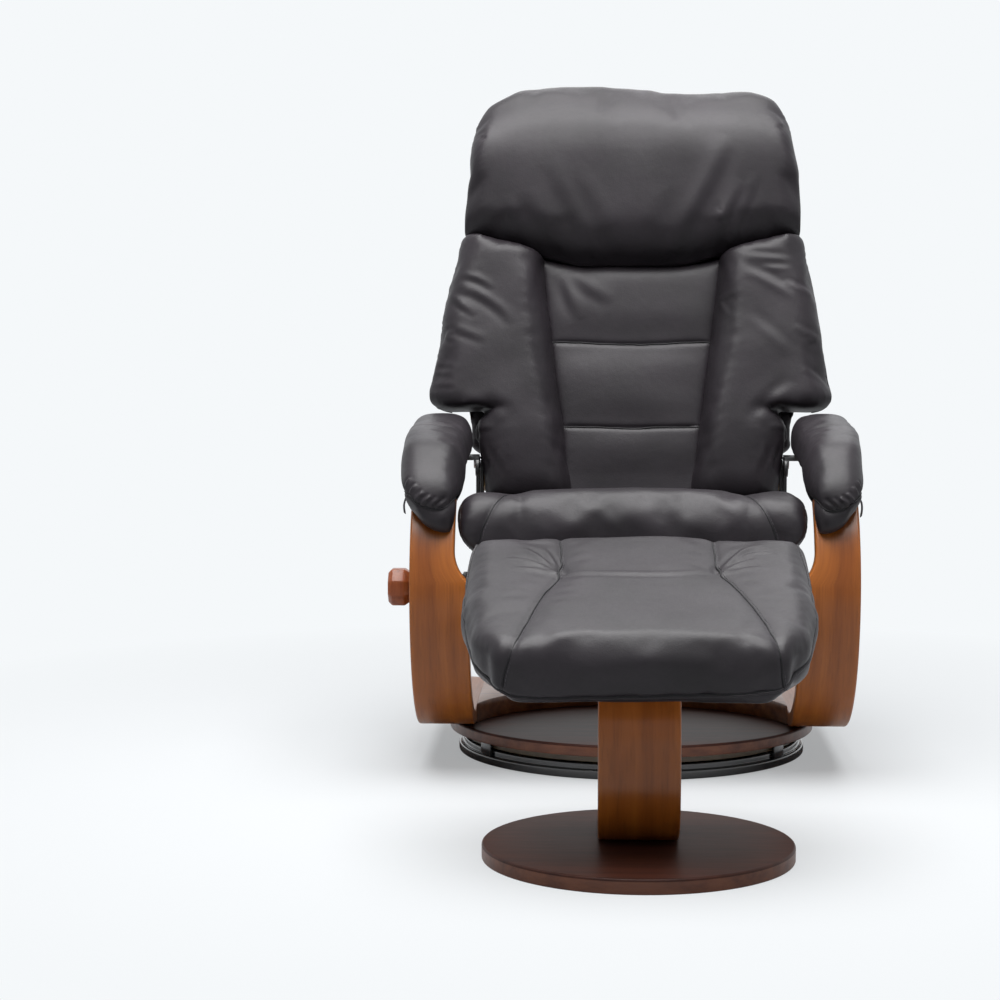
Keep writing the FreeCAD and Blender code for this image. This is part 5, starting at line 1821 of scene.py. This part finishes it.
@dataclass
class Knob:
    """Faceted recline knob."""
    workshop: Workshop

    def build(self) -> None:
        """Eases the knob's facets."""
        f = self.workshop.finishes
        self.workshop.eased("tension_knob", f.knob, "knob", "knob_wood", 1.6)
        self.workshop.repaint(f.screw, "knob_stud", "clamp_nut")


@dataclass
class Mechanism:
    """Brackets, slotted bars, cranked bars, pins and screws of the recline."""
    workshop: Workshop

    def build(self) -> None:
        """Dresses the steel parts."""
        f = self.workshop.finishes
        for side in Side:
            self.workshop.eased("side_bracket_" + side.word, f.bracket, "chair_frame",
                                "black_bracket", 0.7)
            self.workshop.eased("seat_bar_" + side.word, f.bracket, "seat", "black_bracket", 0.6)
            self.workshop.eased("back_bar_" + side.word, f.bracket, "back", "black_bracket", 0.6)
        self.workshop.repaint(f.screw, "guide_bolts", "pivot_bolts", "drive_pins")
        fasteners = Fasteners(self.workshop)
        for node, body in {
            "lower_plate_screws": "base", "upper_plate_screws": "chair_frame",
            "frame_bolts": "chair_frame", "bracket_screws": "chair_frame",
            "seat_bar_screws": "seat", "back_bar_screws": "back", "ottoman_bolts": "ottoman",
        }.items():
            fasteners.remake(node, body)


@dataclass
class Seat:
    """Seat cushion on its beech frame."""
    workshop: Workshop
    voxel: float = 6.5

    def build(self) -> None:
        """Makes the cushion and dresses the frame."""
        f = self.workshop.finishes
        form = SoftForm(["seat_cushion"], Posture(), self.voxel).relax(40).swell(1.5)

        def rolled(points: Array) -> Array:
            """Raises the front roll, lets the rear sink and draws the right end in.

            Args:
                points: The form's points in millimetres.

            Returns:
                How far each one moves.
            """
            x, y, z = points.T
            top = np.clip((z - 420) / 40, 0, 1)
            rise = np.interp(y, [-340, -290, -220, -120, 60], [2, 5, 2, -9, -9])
            end = np.clip((np.abs(x) - 240) / 45, 0, 1)
            reach = np.where(x < 0, -1.5 * np.clip((470 - z) / 20, 0, 1), -5)
            reach = reach - np.sign(x) * 24 * np.clip((424 - z) / 40, 0, 1) ** 2
            return np.stack([reach * end, 0 * x, rise * top - 5 * end ** 2 * top], 1)
        form.shift(rolled).relax(6)
        ends = [[(k * x, y, z) for x, y, z in (
            (284, -150, 470), (288, -270, 465), (289, -316, 446), (289, -330, 420),
            (288, -330, 396), (284, -318, 386))] for k in (-1, 1)]
        left = [(-195, 60, 470), (-200, -40, 476), (-206, -160, 480), (-211, -262, 482),
                (-220, -303, 476), (-233, -328, 462), (-245, -342, 441), (-252, -347, 424),
                (-256, -347, 408), (-258, -340, 388)]
        right = [(176, 60, 470), (180, -40, 476), (184, -160, 480), (188, -262, 482),
                 (196, -303, 476), (209, -326, 464), (220, -339, 446), (228, -345, 430),
                 (233, -347, 416), (236, -340, 390)]
        pins = [form.crease(*line) for line in (left, right)]
        form.inflate(np.maximum(form.sewn(pins, 26), (form.points[:, 2] < 396) * 1.0), 4.5, 3.0)
        form.relax(5, 0.5, 0).finer()
        seams = [form.crease(*line) for line in (left, right)]
        borders = [form.crease(*line) for line in ends]
        for seam in seams:
            form.press(seam, 13, 3.2).press(seam, 3.6, 2.0, snap=1.6)
        for border in borders:
            form.gather(border, 26, 2.0, 15, seed=0.4)
            form.press(border, 4, 1.8, snap=1.4)
        form.uneven(1.6, 90, 1.3)
        work = Seams(self.workshop, "seat")
        for line in seams + borders:
            work.seam(form, line)
        work.finish()
        self.workshop.piece("seat_leather", form.mesh(), f.leather, "seat", "leather",
                            ("seat_cushion",), fill=0.8)
        self.workshop.repaint(f.beech, "seat_rail_left", "seat_rail_right", "seat_rail_front",
                              "seat_rail_rear")
        self.workshop.repaint(f.webbing, "seat_webbing")
        self.workshop.repaint(f.dust_cloth, "seat_dust_cover")


# Crown: distance from the middle and how far the headrest's upper edge lies lower there.
# Folds: knots (x, height), half width, height, side of the valley and, for the headrest, root.
CROWN_X = [-306, -286, -267, -248, -229, -210, -190, -172, -133, -57, -20, 39, 58, 100, 134, 172,
           192, 211, 230, 249, 268, 287, 306]
CROWN_DROP = [78, 56, 41, 29, 18, 9, 5, 3, 0, 0, 4, 8, 13, 14, 14, 13, 13, 13, 15, 21, 30, 45, 68]
HEAD_FOLDS = [
    (((74, 448), (98, 500), (126, 548), (150, 600), (172, 656)), 13, 5.0, 1, 0.8),
    (((146, 442), (160, 490), (180, 530), (200, 570)), 9, 4.6, 1, 0.8),
    (((178, 446), (194, 500), (212, 545), (226, 585)), 8, 3.2, 1, 0.7),
    (((-78, 450), (-94, 500), (-122, 560), (-150, 610)), 13, 3.0, -1, 0.8),
    (((-24, 456), (-50, 510), (-82, 566), (-104, 600)), 14, 2.4, -1, 0.7),
    (((-138, 462), (-164, 510), (-188, 556)), 12, 2.4, -1, 0.7),
    (((-190, 466), (-214, 512), (-232, 545)), 10, 1.8, -1, 0.6),
    (((24, 454), (32, 505), (50, 560)), 14, 1.8, 1, 0.6),
]
WING_FOLDS = {
    Side.LEFT: [
        (((-319, 398), (-300, 394), (-278, 386), (-250, 368)), 6.0, 4.0, 1),
        (((-326, 376), (-300, 368), (-268, 352), (-236, 328), (-214, 300)), 8.0, 5.2, 1),
        (((-338, 364), (-322, 348), (-304, 332), (-282, 318)), 6.0, 3.8, 1),
        (((-336, 305), (-316, 292), (-286, 280), (-262, 272)), 7.0, 3.0, 1),
        (((-354, 288), (-334, 276), (-318, 270)), 5.0, 2.6, 1),
        (((-360, 233), (-338, 226), (-322, 223)), 4.5, 2.4, 1),
        (((-364, 216), (-340, 209), (-322, 206)), 4.5, 2.2, 1),
        (((-368, 193), (-338, 187), (-318, 186)), 4.5, 2.2, 1),
        (((-304, 158), (-272, 152), (-246, 138), (-228, 118)), 10.0, 4.6, 1),
        (((-272, 84), (-258, 52), (-242, 18)), 5.0, 3.4, 1),
        (((-280, 60), (-272, 34), (-262, 6)), 4.5, 2.8, 1),
        (((-284, 108), (-266, 110), (-246, 108)), 5.0, 2.6, 1),
        (((-256, 80), (-236, 46), (-222, 20)), 6.0, 2.2, 1),
    ],
    Side.RIGHT: [
        (((196, 430), (236, 426), (276, 422), (300, 420)), 6.5, 3.4, -1),
        (((236, 408), (262, 406), (296, 404)), 5.5, 2.6, -1),
        (((196, 404), (236, 388), (272, 366), (304, 346)), 8.0, 4.8, -1),
        (((274, 380), (304, 368), (332, 358)), 6.0, 4.2, -1),
        (((150, 368), (166, 340), (178, 314)), 5.5, 2.6, -1),
        (((206, 318), (252, 278), (292, 240)), 9.0, 2.4, -1),
        (((292, 296), (322, 282), (352, 274)), 6.0, 2.8, -1),
        (((306, 216), (334, 204), (356, 188)), 5.5, 2.8, -1),
        (((300, 186), (270, 164), (246, 140), (228, 112)), 10.0, 4.8, 1),
        (((268, 92), (256, 56), (244, 18)), 5.0, 3.6, -1),
        (((282, 66), (274, 38), (264, 8)), 4.5, 2.8, -1),
        (((284, 112), (264, 112), (244, 108)), 5.0, 2.6, 1),
        (((250, 84), (232, 48), (222, 20)), 6.0, 2.4, -1),
    ],
}


def hollow(d: Array, h: Array) -> Array:
    """How far the front of the back draws in towards its foot."""
    return 15 * np.clip((125 - h) / 125, 0, 1) ** 1.4 * np.clip(-d / 14, 0, 1)


@dataclass
class Back:
    """Leaning back: three-part centre panel, winged bolsters, headrest and rear cover."""
    workshop: Workshop
    posture: Posture = Posture(88, 457, -16)
    voxel: float = 6.5
    seams: "Seams | None" = None

    def build(self) -> None:
        """Makes every part of the back."""
        f = self.workshop.finishes
        self.seams = Seams(self.workshop, "back")
        self.centre()
        for side in Side:
            self.wing(side)
        self.headrest()
        self.rear_cover()
        self.seams.finish()
        self.workshop.repaint(f.beech, "back_post_left", "back_post_right", "back_rail_bottom",
                              "back_rail_middle", "back_rail_top")
        self.workshop.repaint(f.webbing, "back_webbing")

    def cushion(self, name: str, form: SoftForm, fill: float) -> None:
        """Hangs a finished form on the back."""
        self.workshop.piece(name, form.mesh(), self.workshop.finishes.leather, "back", "leather",
                            tuple(form.nodes), fill=fill)

    def centre(self) -> None:
        """Centre panel with two cross seams."""
        form = SoftForm(["back_centre_cushion"], self.posture, 5.5).relax(45, 0.5, 0).swell(5.0)

        def longer(points: Array) -> Array:
            """Lets the foot reach behind the seat.

            Args:
                points: The form's points in millimetres.

            Returns:
                How far each one moves.
            """
            x, d, h = points.T
            wider = np.sign(x) * 13 * np.clip((np.abs(x) - 40) / 60, 0, 1)
            return np.stack([wider, hollow(d, h), -16 * np.clip((30 - h) / 30, 0, 1)], 1)
        form.shift(longer).relax(6).finer()
        across = [
            form.crease((-147, 278), (-100, 277), (0, 273), (100, 277), (147, 278)),
            form.crease((-128, 118), (-88, 117), (0, 115), (88, 117), (128, 118)),
        ]
        folds = [
            (form.crease((-124, 412), (-112, 372), (-92, 318)), 12, 2.4),
            (form.crease((-108, 416), (-74, 382), (-30, 356)), 13, 1.8),
        ]
        for seam in across:
            form.press(seam, 7, 1.4, ends=0.1)
            form.press(seam, 3.2, 2.2, snap=1.6, ends=0.2)
        for crease, width, height in folds:
            form.fold(crease, width, height)
        form.uneven(1.6, 80, 5.1)
        for seam in across:
            self.seams.seam(form, seam, stitched=False)
        self.cushion("back_centre_leather", form, 0.6)

    def wing(self, side: Side) -> None:
        """Side bolster with its wing above the arm.

        Args:
            side: The side of the chair.
        """
        k = side.value
        form = SoftForm(["back_wing_" + side.word], self.posture, self.voxel).relax(30).swell(1.5)
        form.shift(lambda points: self.filled(points, side)).relax(6)
        form.inflate((form.points[:, 1] > 12) * 1.0, 4.5, 3.0).relax(5, 0.5, 0).finer()
        folds = [(form.crease(*line), width, height, turn)
                 for line, width, height, turn in WING_FOLDS[side]]
        edge = form.crease(*((k * x, 4, h) for x, h in (
            (310, 470), (326, 420), (341, 360), (355, 290), (366, 222), (371, 180), (362, 158),
            (330, 150))))
        for crease, width, height, turn in folds:
            form.fold(crease, width * 1.2, height * 0.42, turn)
        form.gather(edge, 24, 1.6, 17, skew=-0.5, seed=k * 0.9 + 2)
        form.press(edge, 3.5, 1.2)
        form.uneven(2.0, 75, 7.7 * k)
        self.seams.seam(form, edge, welt=True, stitched=False)
        self.cushion("back_wing_" + side.word + "_leather", form, 0.6)

    def filled(self, points: Array, side: Side) -> Array:
        """Offsets that round the wing's outer edge and fill the lower side out.

        Args:
            points: The bolster's points.
            side: The side of the chair.

        Returns:
            The offsets.
        """
        x, d, h = points.T
        rows = [-20, 20, 50, 80, 110, 140, 168, 206, 244, 282, 320, 359, 397, 435, 473, 500]
        reach = {
            Side.LEFT: [0, 0, 0, 0, 0, 0, 6, 7, 8, 11, 15, 15, 13, 9, 7, 3],
            Side.RIGHT: [0, 0, 0, 0, 0, 0, 1, -3, 2, 7, 9, 12, 12, 9, 11, 4],
        }[side]
        low = np.arange(2, 135, 12)
        edge = np.array([np.abs(x)[np.abs(h - row) < 9].max(initial=0) for row in low])
        edge[edge == 0] = edge[edge > 0][0]
        wanted = np.interp(low, [-10, 10, 30, 55, 80, 110, 135],
                           [264, 270, 276, 281, 286, 287, 289])
        front = np.clip(-d / 15, 0, 1) * (h < 136)
        rear = np.clip((d - 3) / 6, 0, 1) * np.clip((h - 80) / 8, 0, 1) * (h < 136)
        share = np.clip((np.abs(x) - 190) / 60, 0, 1)
        fill = np.maximum(np.interp(h, low, np.clip(wanted - edge, 0, 55), right=0) * front,
                          np.interp(h, low, np.clip(300 - edge, 0, 65), right=0) * rear)
        out = (np.interp(h, rows, reach) + fill) * share
        down = -16 * np.clip((30 - h) / 30, 0, 1)
        return np.stack([side.value * out, hollow(d, h), down], 1)

    def headrest(self) -> None:
        """Pillow across the top, with long folds and a wavy upper edge."""
        form = SoftForm(["headrest_cushion"], self.posture, self.voxel).relax(50).swell(1.5)
        levels = np.arange(430, 800, 8.0)
        table = np.interp(levels, [445, 460, 480, 500, 530, 560, 590, 630, 670, 710, 750, 778],
                           [30, 24, 17, 10, 1, -8, -16, -27, -32, -29, -8, 12])
        table = eased_line(table)

        def crown(points: Array) -> Array:
            """Draws the sides in and lowers the corners as the photograph shows.

            Args:
                points: The form's points in millimetres.

            Returns:
                How far each one moves.
            """
            x, d, h = points.T
            rows = [490, 520, 550, 610, 650, 690, 720, 760]
            left = np.interp(h, rows, [5, 2, -3, -7, -7, -9, -13, -17])
            right = np.interp(h, rows, [7, 5, 2, 0, -5, -9, -12, -16])
            inward = np.where(x < 0, -left, right) * np.clip((np.abs(x) - 150) / 150, 0, 1)
            down = np.interp(x + inward, CROWN_X, CROWN_DROP)
            share = np.clip((h - 545) / 215, 0, 1) ** 1.3
            front = np.clip(-d / 40, 0, 1)
            back = np.interp(h, levels, table) * front
            return np.stack([inward, back, -down * share], 1)
        form.shift(crown).relax(14)
        form.inflate(np.clip((form.points[:, 1] + 20) / 40, 0, 1), 4.5, 3.0)
        form.relax(5, 0.5, 0).finer()
        folds = [(form.crease(*line), width, height, turn, root)
                 for line, width, height, turn, root in HEAD_FOLDS]
        corners = [form.crease((k * 306, -6, h - 50), (k * 298, -12, h), (k * 270, -10, h + 40))
                   for k, h in ((-1, 668), (1, 690))]
        rims = [form.crease((k * 306, 40, 494), (k * 305, 42, 600), (k * 292, 44, 690),
                            (k * 262, 44, 735)) for k in (-1, 1)]
        for crease, width, height, turn, root in folds:
            form.fold(crease, width * 1.3, height * 0.55, turn, root)
        for corner in corners:
            form.gather(corner, 20, 1.6, 14, seed=1.1)
        form.press(form.crease((-303, 676), (-286, 668), (-268, 664)), 8, 2.2, open_ends=False)
        form.press(form.crease((303, 700), (290, 692), (276, 688)), 8, 1.8, open_ends=False)
        form.uneven(2.4, 95, 2.2)
        for rim in rims:
            self.seams.seam(form, rim, welt=True, stitched=False)
        self.cushion("headrest_leather", form, 0.7)

    def rear_cover(self) -> None:
        """Cover behind the frame."""
        form = SoftForm(["back_rear_cover"], self.posture, 8.0).relax(10).swell(1.0)

        def narrower(points: Array) -> Array:
            """Draws the upper corners in behind the headrest.

            Args:
                points: The form's points in millimetres.

            Returns:
                How far each one moves.
            """
            x, _, h = points.T
            high = np.clip((h - 540) / 120, 0, 1)
            end = np.clip((np.abs(x) - 120) / 160, 0, 1)
            low = np.clip((h - 80) / 10, 0, 1) * np.clip((200 - h) / 40, 0, 1)
            out = low * end * np.clip(299 - np.abs(x), 0, 30) - 12 * high * end
            return np.stack([np.sign(x) * out, 0 * x, -16 * high * end ** 2 - 4 * high], 1)
        form.shift(narrower).relax(6).finer()
        rim = form.crease((-282, 88, 172), (-282, 90, 420), (-276, 88, 690), (-250, 84, 730),
                          (0, 88, 736), (250, 84, 730), (276, 88, 690), (282, 90, 420),
                          (282, 88, 172))
        form.press(rim, 8, 3.0, snap=1.5)
        form.uneven(1.6, 120, 9.4)
        self.seams.seam(form, rim, welt=True)
        self.cushion("back_cover_leather", form, 0.3)


@dataclass
class Ottoman:
    """Round disc, bentwood post, board and cushion of the footstool."""
    workshop: Workshop
    centre_y: float = -855.0
    disc_r: float = 226.0
    disc_t: float = 22.0
    path: CPath = CPath(-943, 22, -700, 110, 52, 110, 14.6, -690)
    width: float = 117.0
    thickness: float = 22.0
    posture: Posture = Posture(-855, 291.9, 14.6)

    def build(self) -> None:
        """Makes the stand and the cushion."""
        f = self.workshop.finishes
        mesh = disc_mesh(self.disc_r, 0, self.disc_t, self.centre_y, 160, (2, 4),
                         (f.walnut, f.walnut_rim))
        self.workshop.piece("ottoman_disc_turned", mesh, None, "ottoman", "walnut",
                            ("ottoman_disc",), smooth_angle=35)
        rail = self.path.line(self.thickness / 2)
        post = StripRecipe(f.bentwood).baked(chain_mesh([rail]), {
            "Width": self.width * MM, "Thickness": self.thickness * MM, "Edge Radius": 4 * MM,
            "Inner X": -self.width / 2 * MM, "Shoulder Height": 10.0, "Shoulder Run": 0.05,
            "Step": 0.02, "Foot Radius": 0.0})
        self.workshop.piece("ottoman_post_bent", post, None, "ottoman", "bentwood",
                            ("ottoman_post",), smooth_angle=40)
        self.workshop.repaint(f.beech, "ottoman_pad_board")
        self.cushion()

    def cushion(self) -> None:
        """Cushion with panels sewn to two kinks, and a welt round its foot."""
        form = SoftForm(["ottoman_cushion"], self.posture, 6.5).relax(40).swell(1.5)

        def tucked(points: Array) -> Array:
            """Lifts the underside at the front, where it tucks in below the welt.

            Args:
                points: The form's points in millimetres.

            Returns:
                How far each one moves.
            """
            x, y, z = points.T
            share = np.clip((-90 - y) / 80, 0, 1) * np.clip((34 - z) / 24, 0, 1)
            return np.stack([0 * x, 0 * y, 11 * share], 1)
        form.shift(tucked).relax(5)
        lines = [
            [(-117, 232, 88), (-116, 217, 98), (-114, 148, 100), (-113, 71, 100)],
            [(-113, 71, 100), (-132, 7, 100), (-154, -84, 98), (-168, -160, 93), (-181, -190, 66),
             (-191, -196, 34), (-194, -194, 16)],
            [(114, 232, 88), (114, 217, 98), (115, 162, 100), (115, 79, 100)],
            [(115, 79, 100), (137, 21, 100), (164, -70, 97), (179, -150, 94), (190, -190, 74),
             (195, -196, 48), (199, -194, 26)],
        ]
        pins = [form.crease(*line) for line in lines]
        form.inflate(np.maximum(form.sewn(pins, 24), (form.points[:, 2] < 10) * 1.0), 4, 3.0)
        form.relax(5, 0.5, 0).finer()
        seams = [form.crease(*line) for line in lines]
        foot = form.crease(
            (-238, 215, 86), (-244, 150, 72), (-245, 60, 62), (-238, -60, 50), (-222, -150, 36),
            (-196, -190, 22), (-105, -198, 19), (0, -198, 21), (98, -197, 26), (190, -192, 34),
            (218, -155, 46), (236, -60, 58), (243, 60, 68), (243, 150, 78), (236, 215, 88))
        wrinkles = [(form.crease(*line), width, height, turn) for line, width, height, turn in (
            (((-107, 66, 100), (-56, 56, 101), (0, 54, 101), (60, 58, 101), (108, 74, 100)),
             7, 1.3, 1),
            (((-117, 76, 100), (-134, 104, 99), (-158, 145, 98), (-176, 172, 97)), 6, 3.2, 1),
            (((-119, 73, 100), (-145, 95, 98), (-172, 116, 97), (-196, 124, 95)), 6, 3.0, 1),
            (((-116, 84, 100), (-126, 118, 99), (-143, 168, 98)), 5, 2.4, 1),
            (((-120, 68, 100), (-150, 78, 98), (-184, 84, 96)), 7, 1.8, 1),
            (((119, 88, 100), (140, 130, 98), (164, 170, 97), (186, 186, 95)), 6, 3.2, -1),
            (((160, 140, 97), (182, 151, 97), (206, 150, 96)), 5, 2.4, -1),
            (((121, 80, 100), (145, 102, 98), (176, 124, 97)), 6, 2.6, -1),
            (((122, 74, 100), (152, 82, 98), (184, 92, 96)), 7, 1.6, -1),
        )]
        side_puckers = form.crease((242, 90, 70), (241, 20, 66), (236, -50, 58))
        for seam in seams:
            form.press(seam, 12, 3.0, ends=0.45)
        for crease, width, height, turn in wrinkles:
            form.fold(crease, width, height, turn, root=0.6)
        form.gather(side_puckers, 16, 1.2, 13, seed=5.5)
        for seam in seams:
            form.press(seam, 3.6, 2.0, snap=1.6, ends=0.4)
        form.press(foot, 3.6, 1.6, snap=1.4)
        form.uneven(1.8, 85, 4.9)
        work = Seams(self.workshop, "ottoman")
        for seam in seams:
            work.seam(form, seam)
        work.seam(form, foot, welt=True, stitched=False)
        work.finish()
        self.workshop.piece("ottoman_leather", form.mesh(), self.workshop.finishes.leather,
                            "ottoman", "leather", ("ottoman_cushion",), fill=0.75)


@dataclass
class Studio:
    """Pale floor and backdrop, soft lights and the camera."""
    camera_place: tuple[float, float, float] = (-0.057, -4.2, 0.791)
    down: float = 4.7
    left: float = 2.44
    lens: float = 84.6
    floor: Colour = srgb(184, 186, 188)
    backdrop: Colour = srgb(245, 248, 250)

    def build(self) -> None:
        """Sets the stage."""
        scene = bpy.context.scene
        scene.view_settings.view_transform = "Standard"
        camera = bpy.data.cameras.new("camera")
        camera.lens = self.lens
        camera.sensor_width = 36
        scene.camera = linked("camera", camera)
        scene.camera.location = self.camera_place
        scene.camera.rotation_euler = (math.radians(90 - self.down), 0, math.radians(self.left))
        self.room()
        self.sky()
        self.lamp("top_light", (-0.1, -0.75, 3.3), (5, 0, 0), 3.0, 278)
        self.lamp("front_light", (-0.6, -3.2, 3.1), (50, 0, -8), 1.8, 5)
        self.lamp("rear_light", (0.2, 2.4, 2.8), (-48, 0, 0), 2.0, 24)

    def lamp(self, name: str, place: tuple, turn: tuple, size: float, power: float) -> None:
        """Adds a square soft lamp.

        Args:
            name: The lamp's name.
            place: Where it hangs, in metres.
            turn: Its turn about each axis in degrees.
            size: Length of its sides in metres.
            power: Its power in watts.
        """
        light = bpy.data.lights.new(name, "AREA")
        light.size = size
        light.energy = power
        lamp = linked(name, light)
        lamp.location = place
        lamp.rotation_euler = [math.radians(angle) for angle in turn]

    def room(self) -> None:
        """Adds the floor, which fades into the backdrop away from the object."""
        paint = Paint("floor_paint")
        here = paint.here()
        tone = paint.cloud(here, 3.0, 2.0)
        pale = tuple(channel * 0.97 for channel in self.floor)
        lit = paint.node("ShaderNodeBsdfPrincipled", {}, {
            "Base Color": paint.blended(tone, self.floor, pale), "Roughness": 0.7,
            "Specular IOR Level": 0.2})
        glow = paint.node("ShaderNodeEmission", {}, {"Color": (*self.backdrop, 1), "Strength": 1.0})
        away = paint.node("ShaderNodeVectorMath", {"operation": "LENGTH"}, {0: here}, "Value")
        far = paint.spread(away, 0.5, 1.7)
        seen = paint.node("ShaderNodeLightPath", {}, {}, "Is Camera Ray")
        under_chair = 0.38
        fade = (far * (1 - under_chair) + under_chair) * seen
        shader = paint.node("ShaderNodeMixShader", {}, {0: fade, 1: lit, 2: glow})
        paint.ended("ShaderNodeOutputMaterial", shader)
        size = 40
        mesh = new_mesh("floor", np.array([(-size, -size, 0), (size, -size, 0), (size, size, 0),
                                           (-size, size, 0)]), [(0, 1, 2, 3)])
        mesh.materials.append(paint.material)
        floor = linked("floor", mesh)

    def sky(self) -> None:
        """White to the camera and in reflections, a soft sky for the light."""
        world = bpy.data.worlds.new("studio")
        world.use_nodes = True
        graph = Graph(world.node_tree)
        world.node_tree.nodes.clear()
        camera, glossy, through = (
            graph.node("ShaderNodeLightPath", {}, {}, name)
            for name in ("Is Camera Ray", "Is Glossy Ray", "Is Transmission Ray"))
        seen = camera.most(glossy).most(through)
        soft, white = (
            graph.node("ShaderNodeBackground", {}, {"Color": (*colour, 1), "Strength": strength})
            for colour, strength in (((0.97, 0.985, 1), 0.1), (self.backdrop, 1.0)))
        mixed = graph.node("ShaderNodeMixShader", {}, {0: seen, 1: soft, 2: white})
        graph.ended("ShaderNodeOutputWorld", mixed)
        bpy.context.scene.world = world


def main() -> None:
    """Builds the sub-assemblies in order."""
    logging.basicConfig(level=logging.INFO, format="%(name)s: %(message)s")
    workshop = Workshop(Finishes())
    Studio().build()
    for assembly in (
        SwivelBase(workshop), WoodenBase(workshop), BentArms(workshop), ArmPads(workshop),
        Knob(workshop), Mechanism(workshop), Seat(workshop), Back(workshop), Ottoman(workshop),
    ):
        LOG.info("%s", type(assembly).__name__)
        assembly.build()


if __name__ == "__main__":
    main()
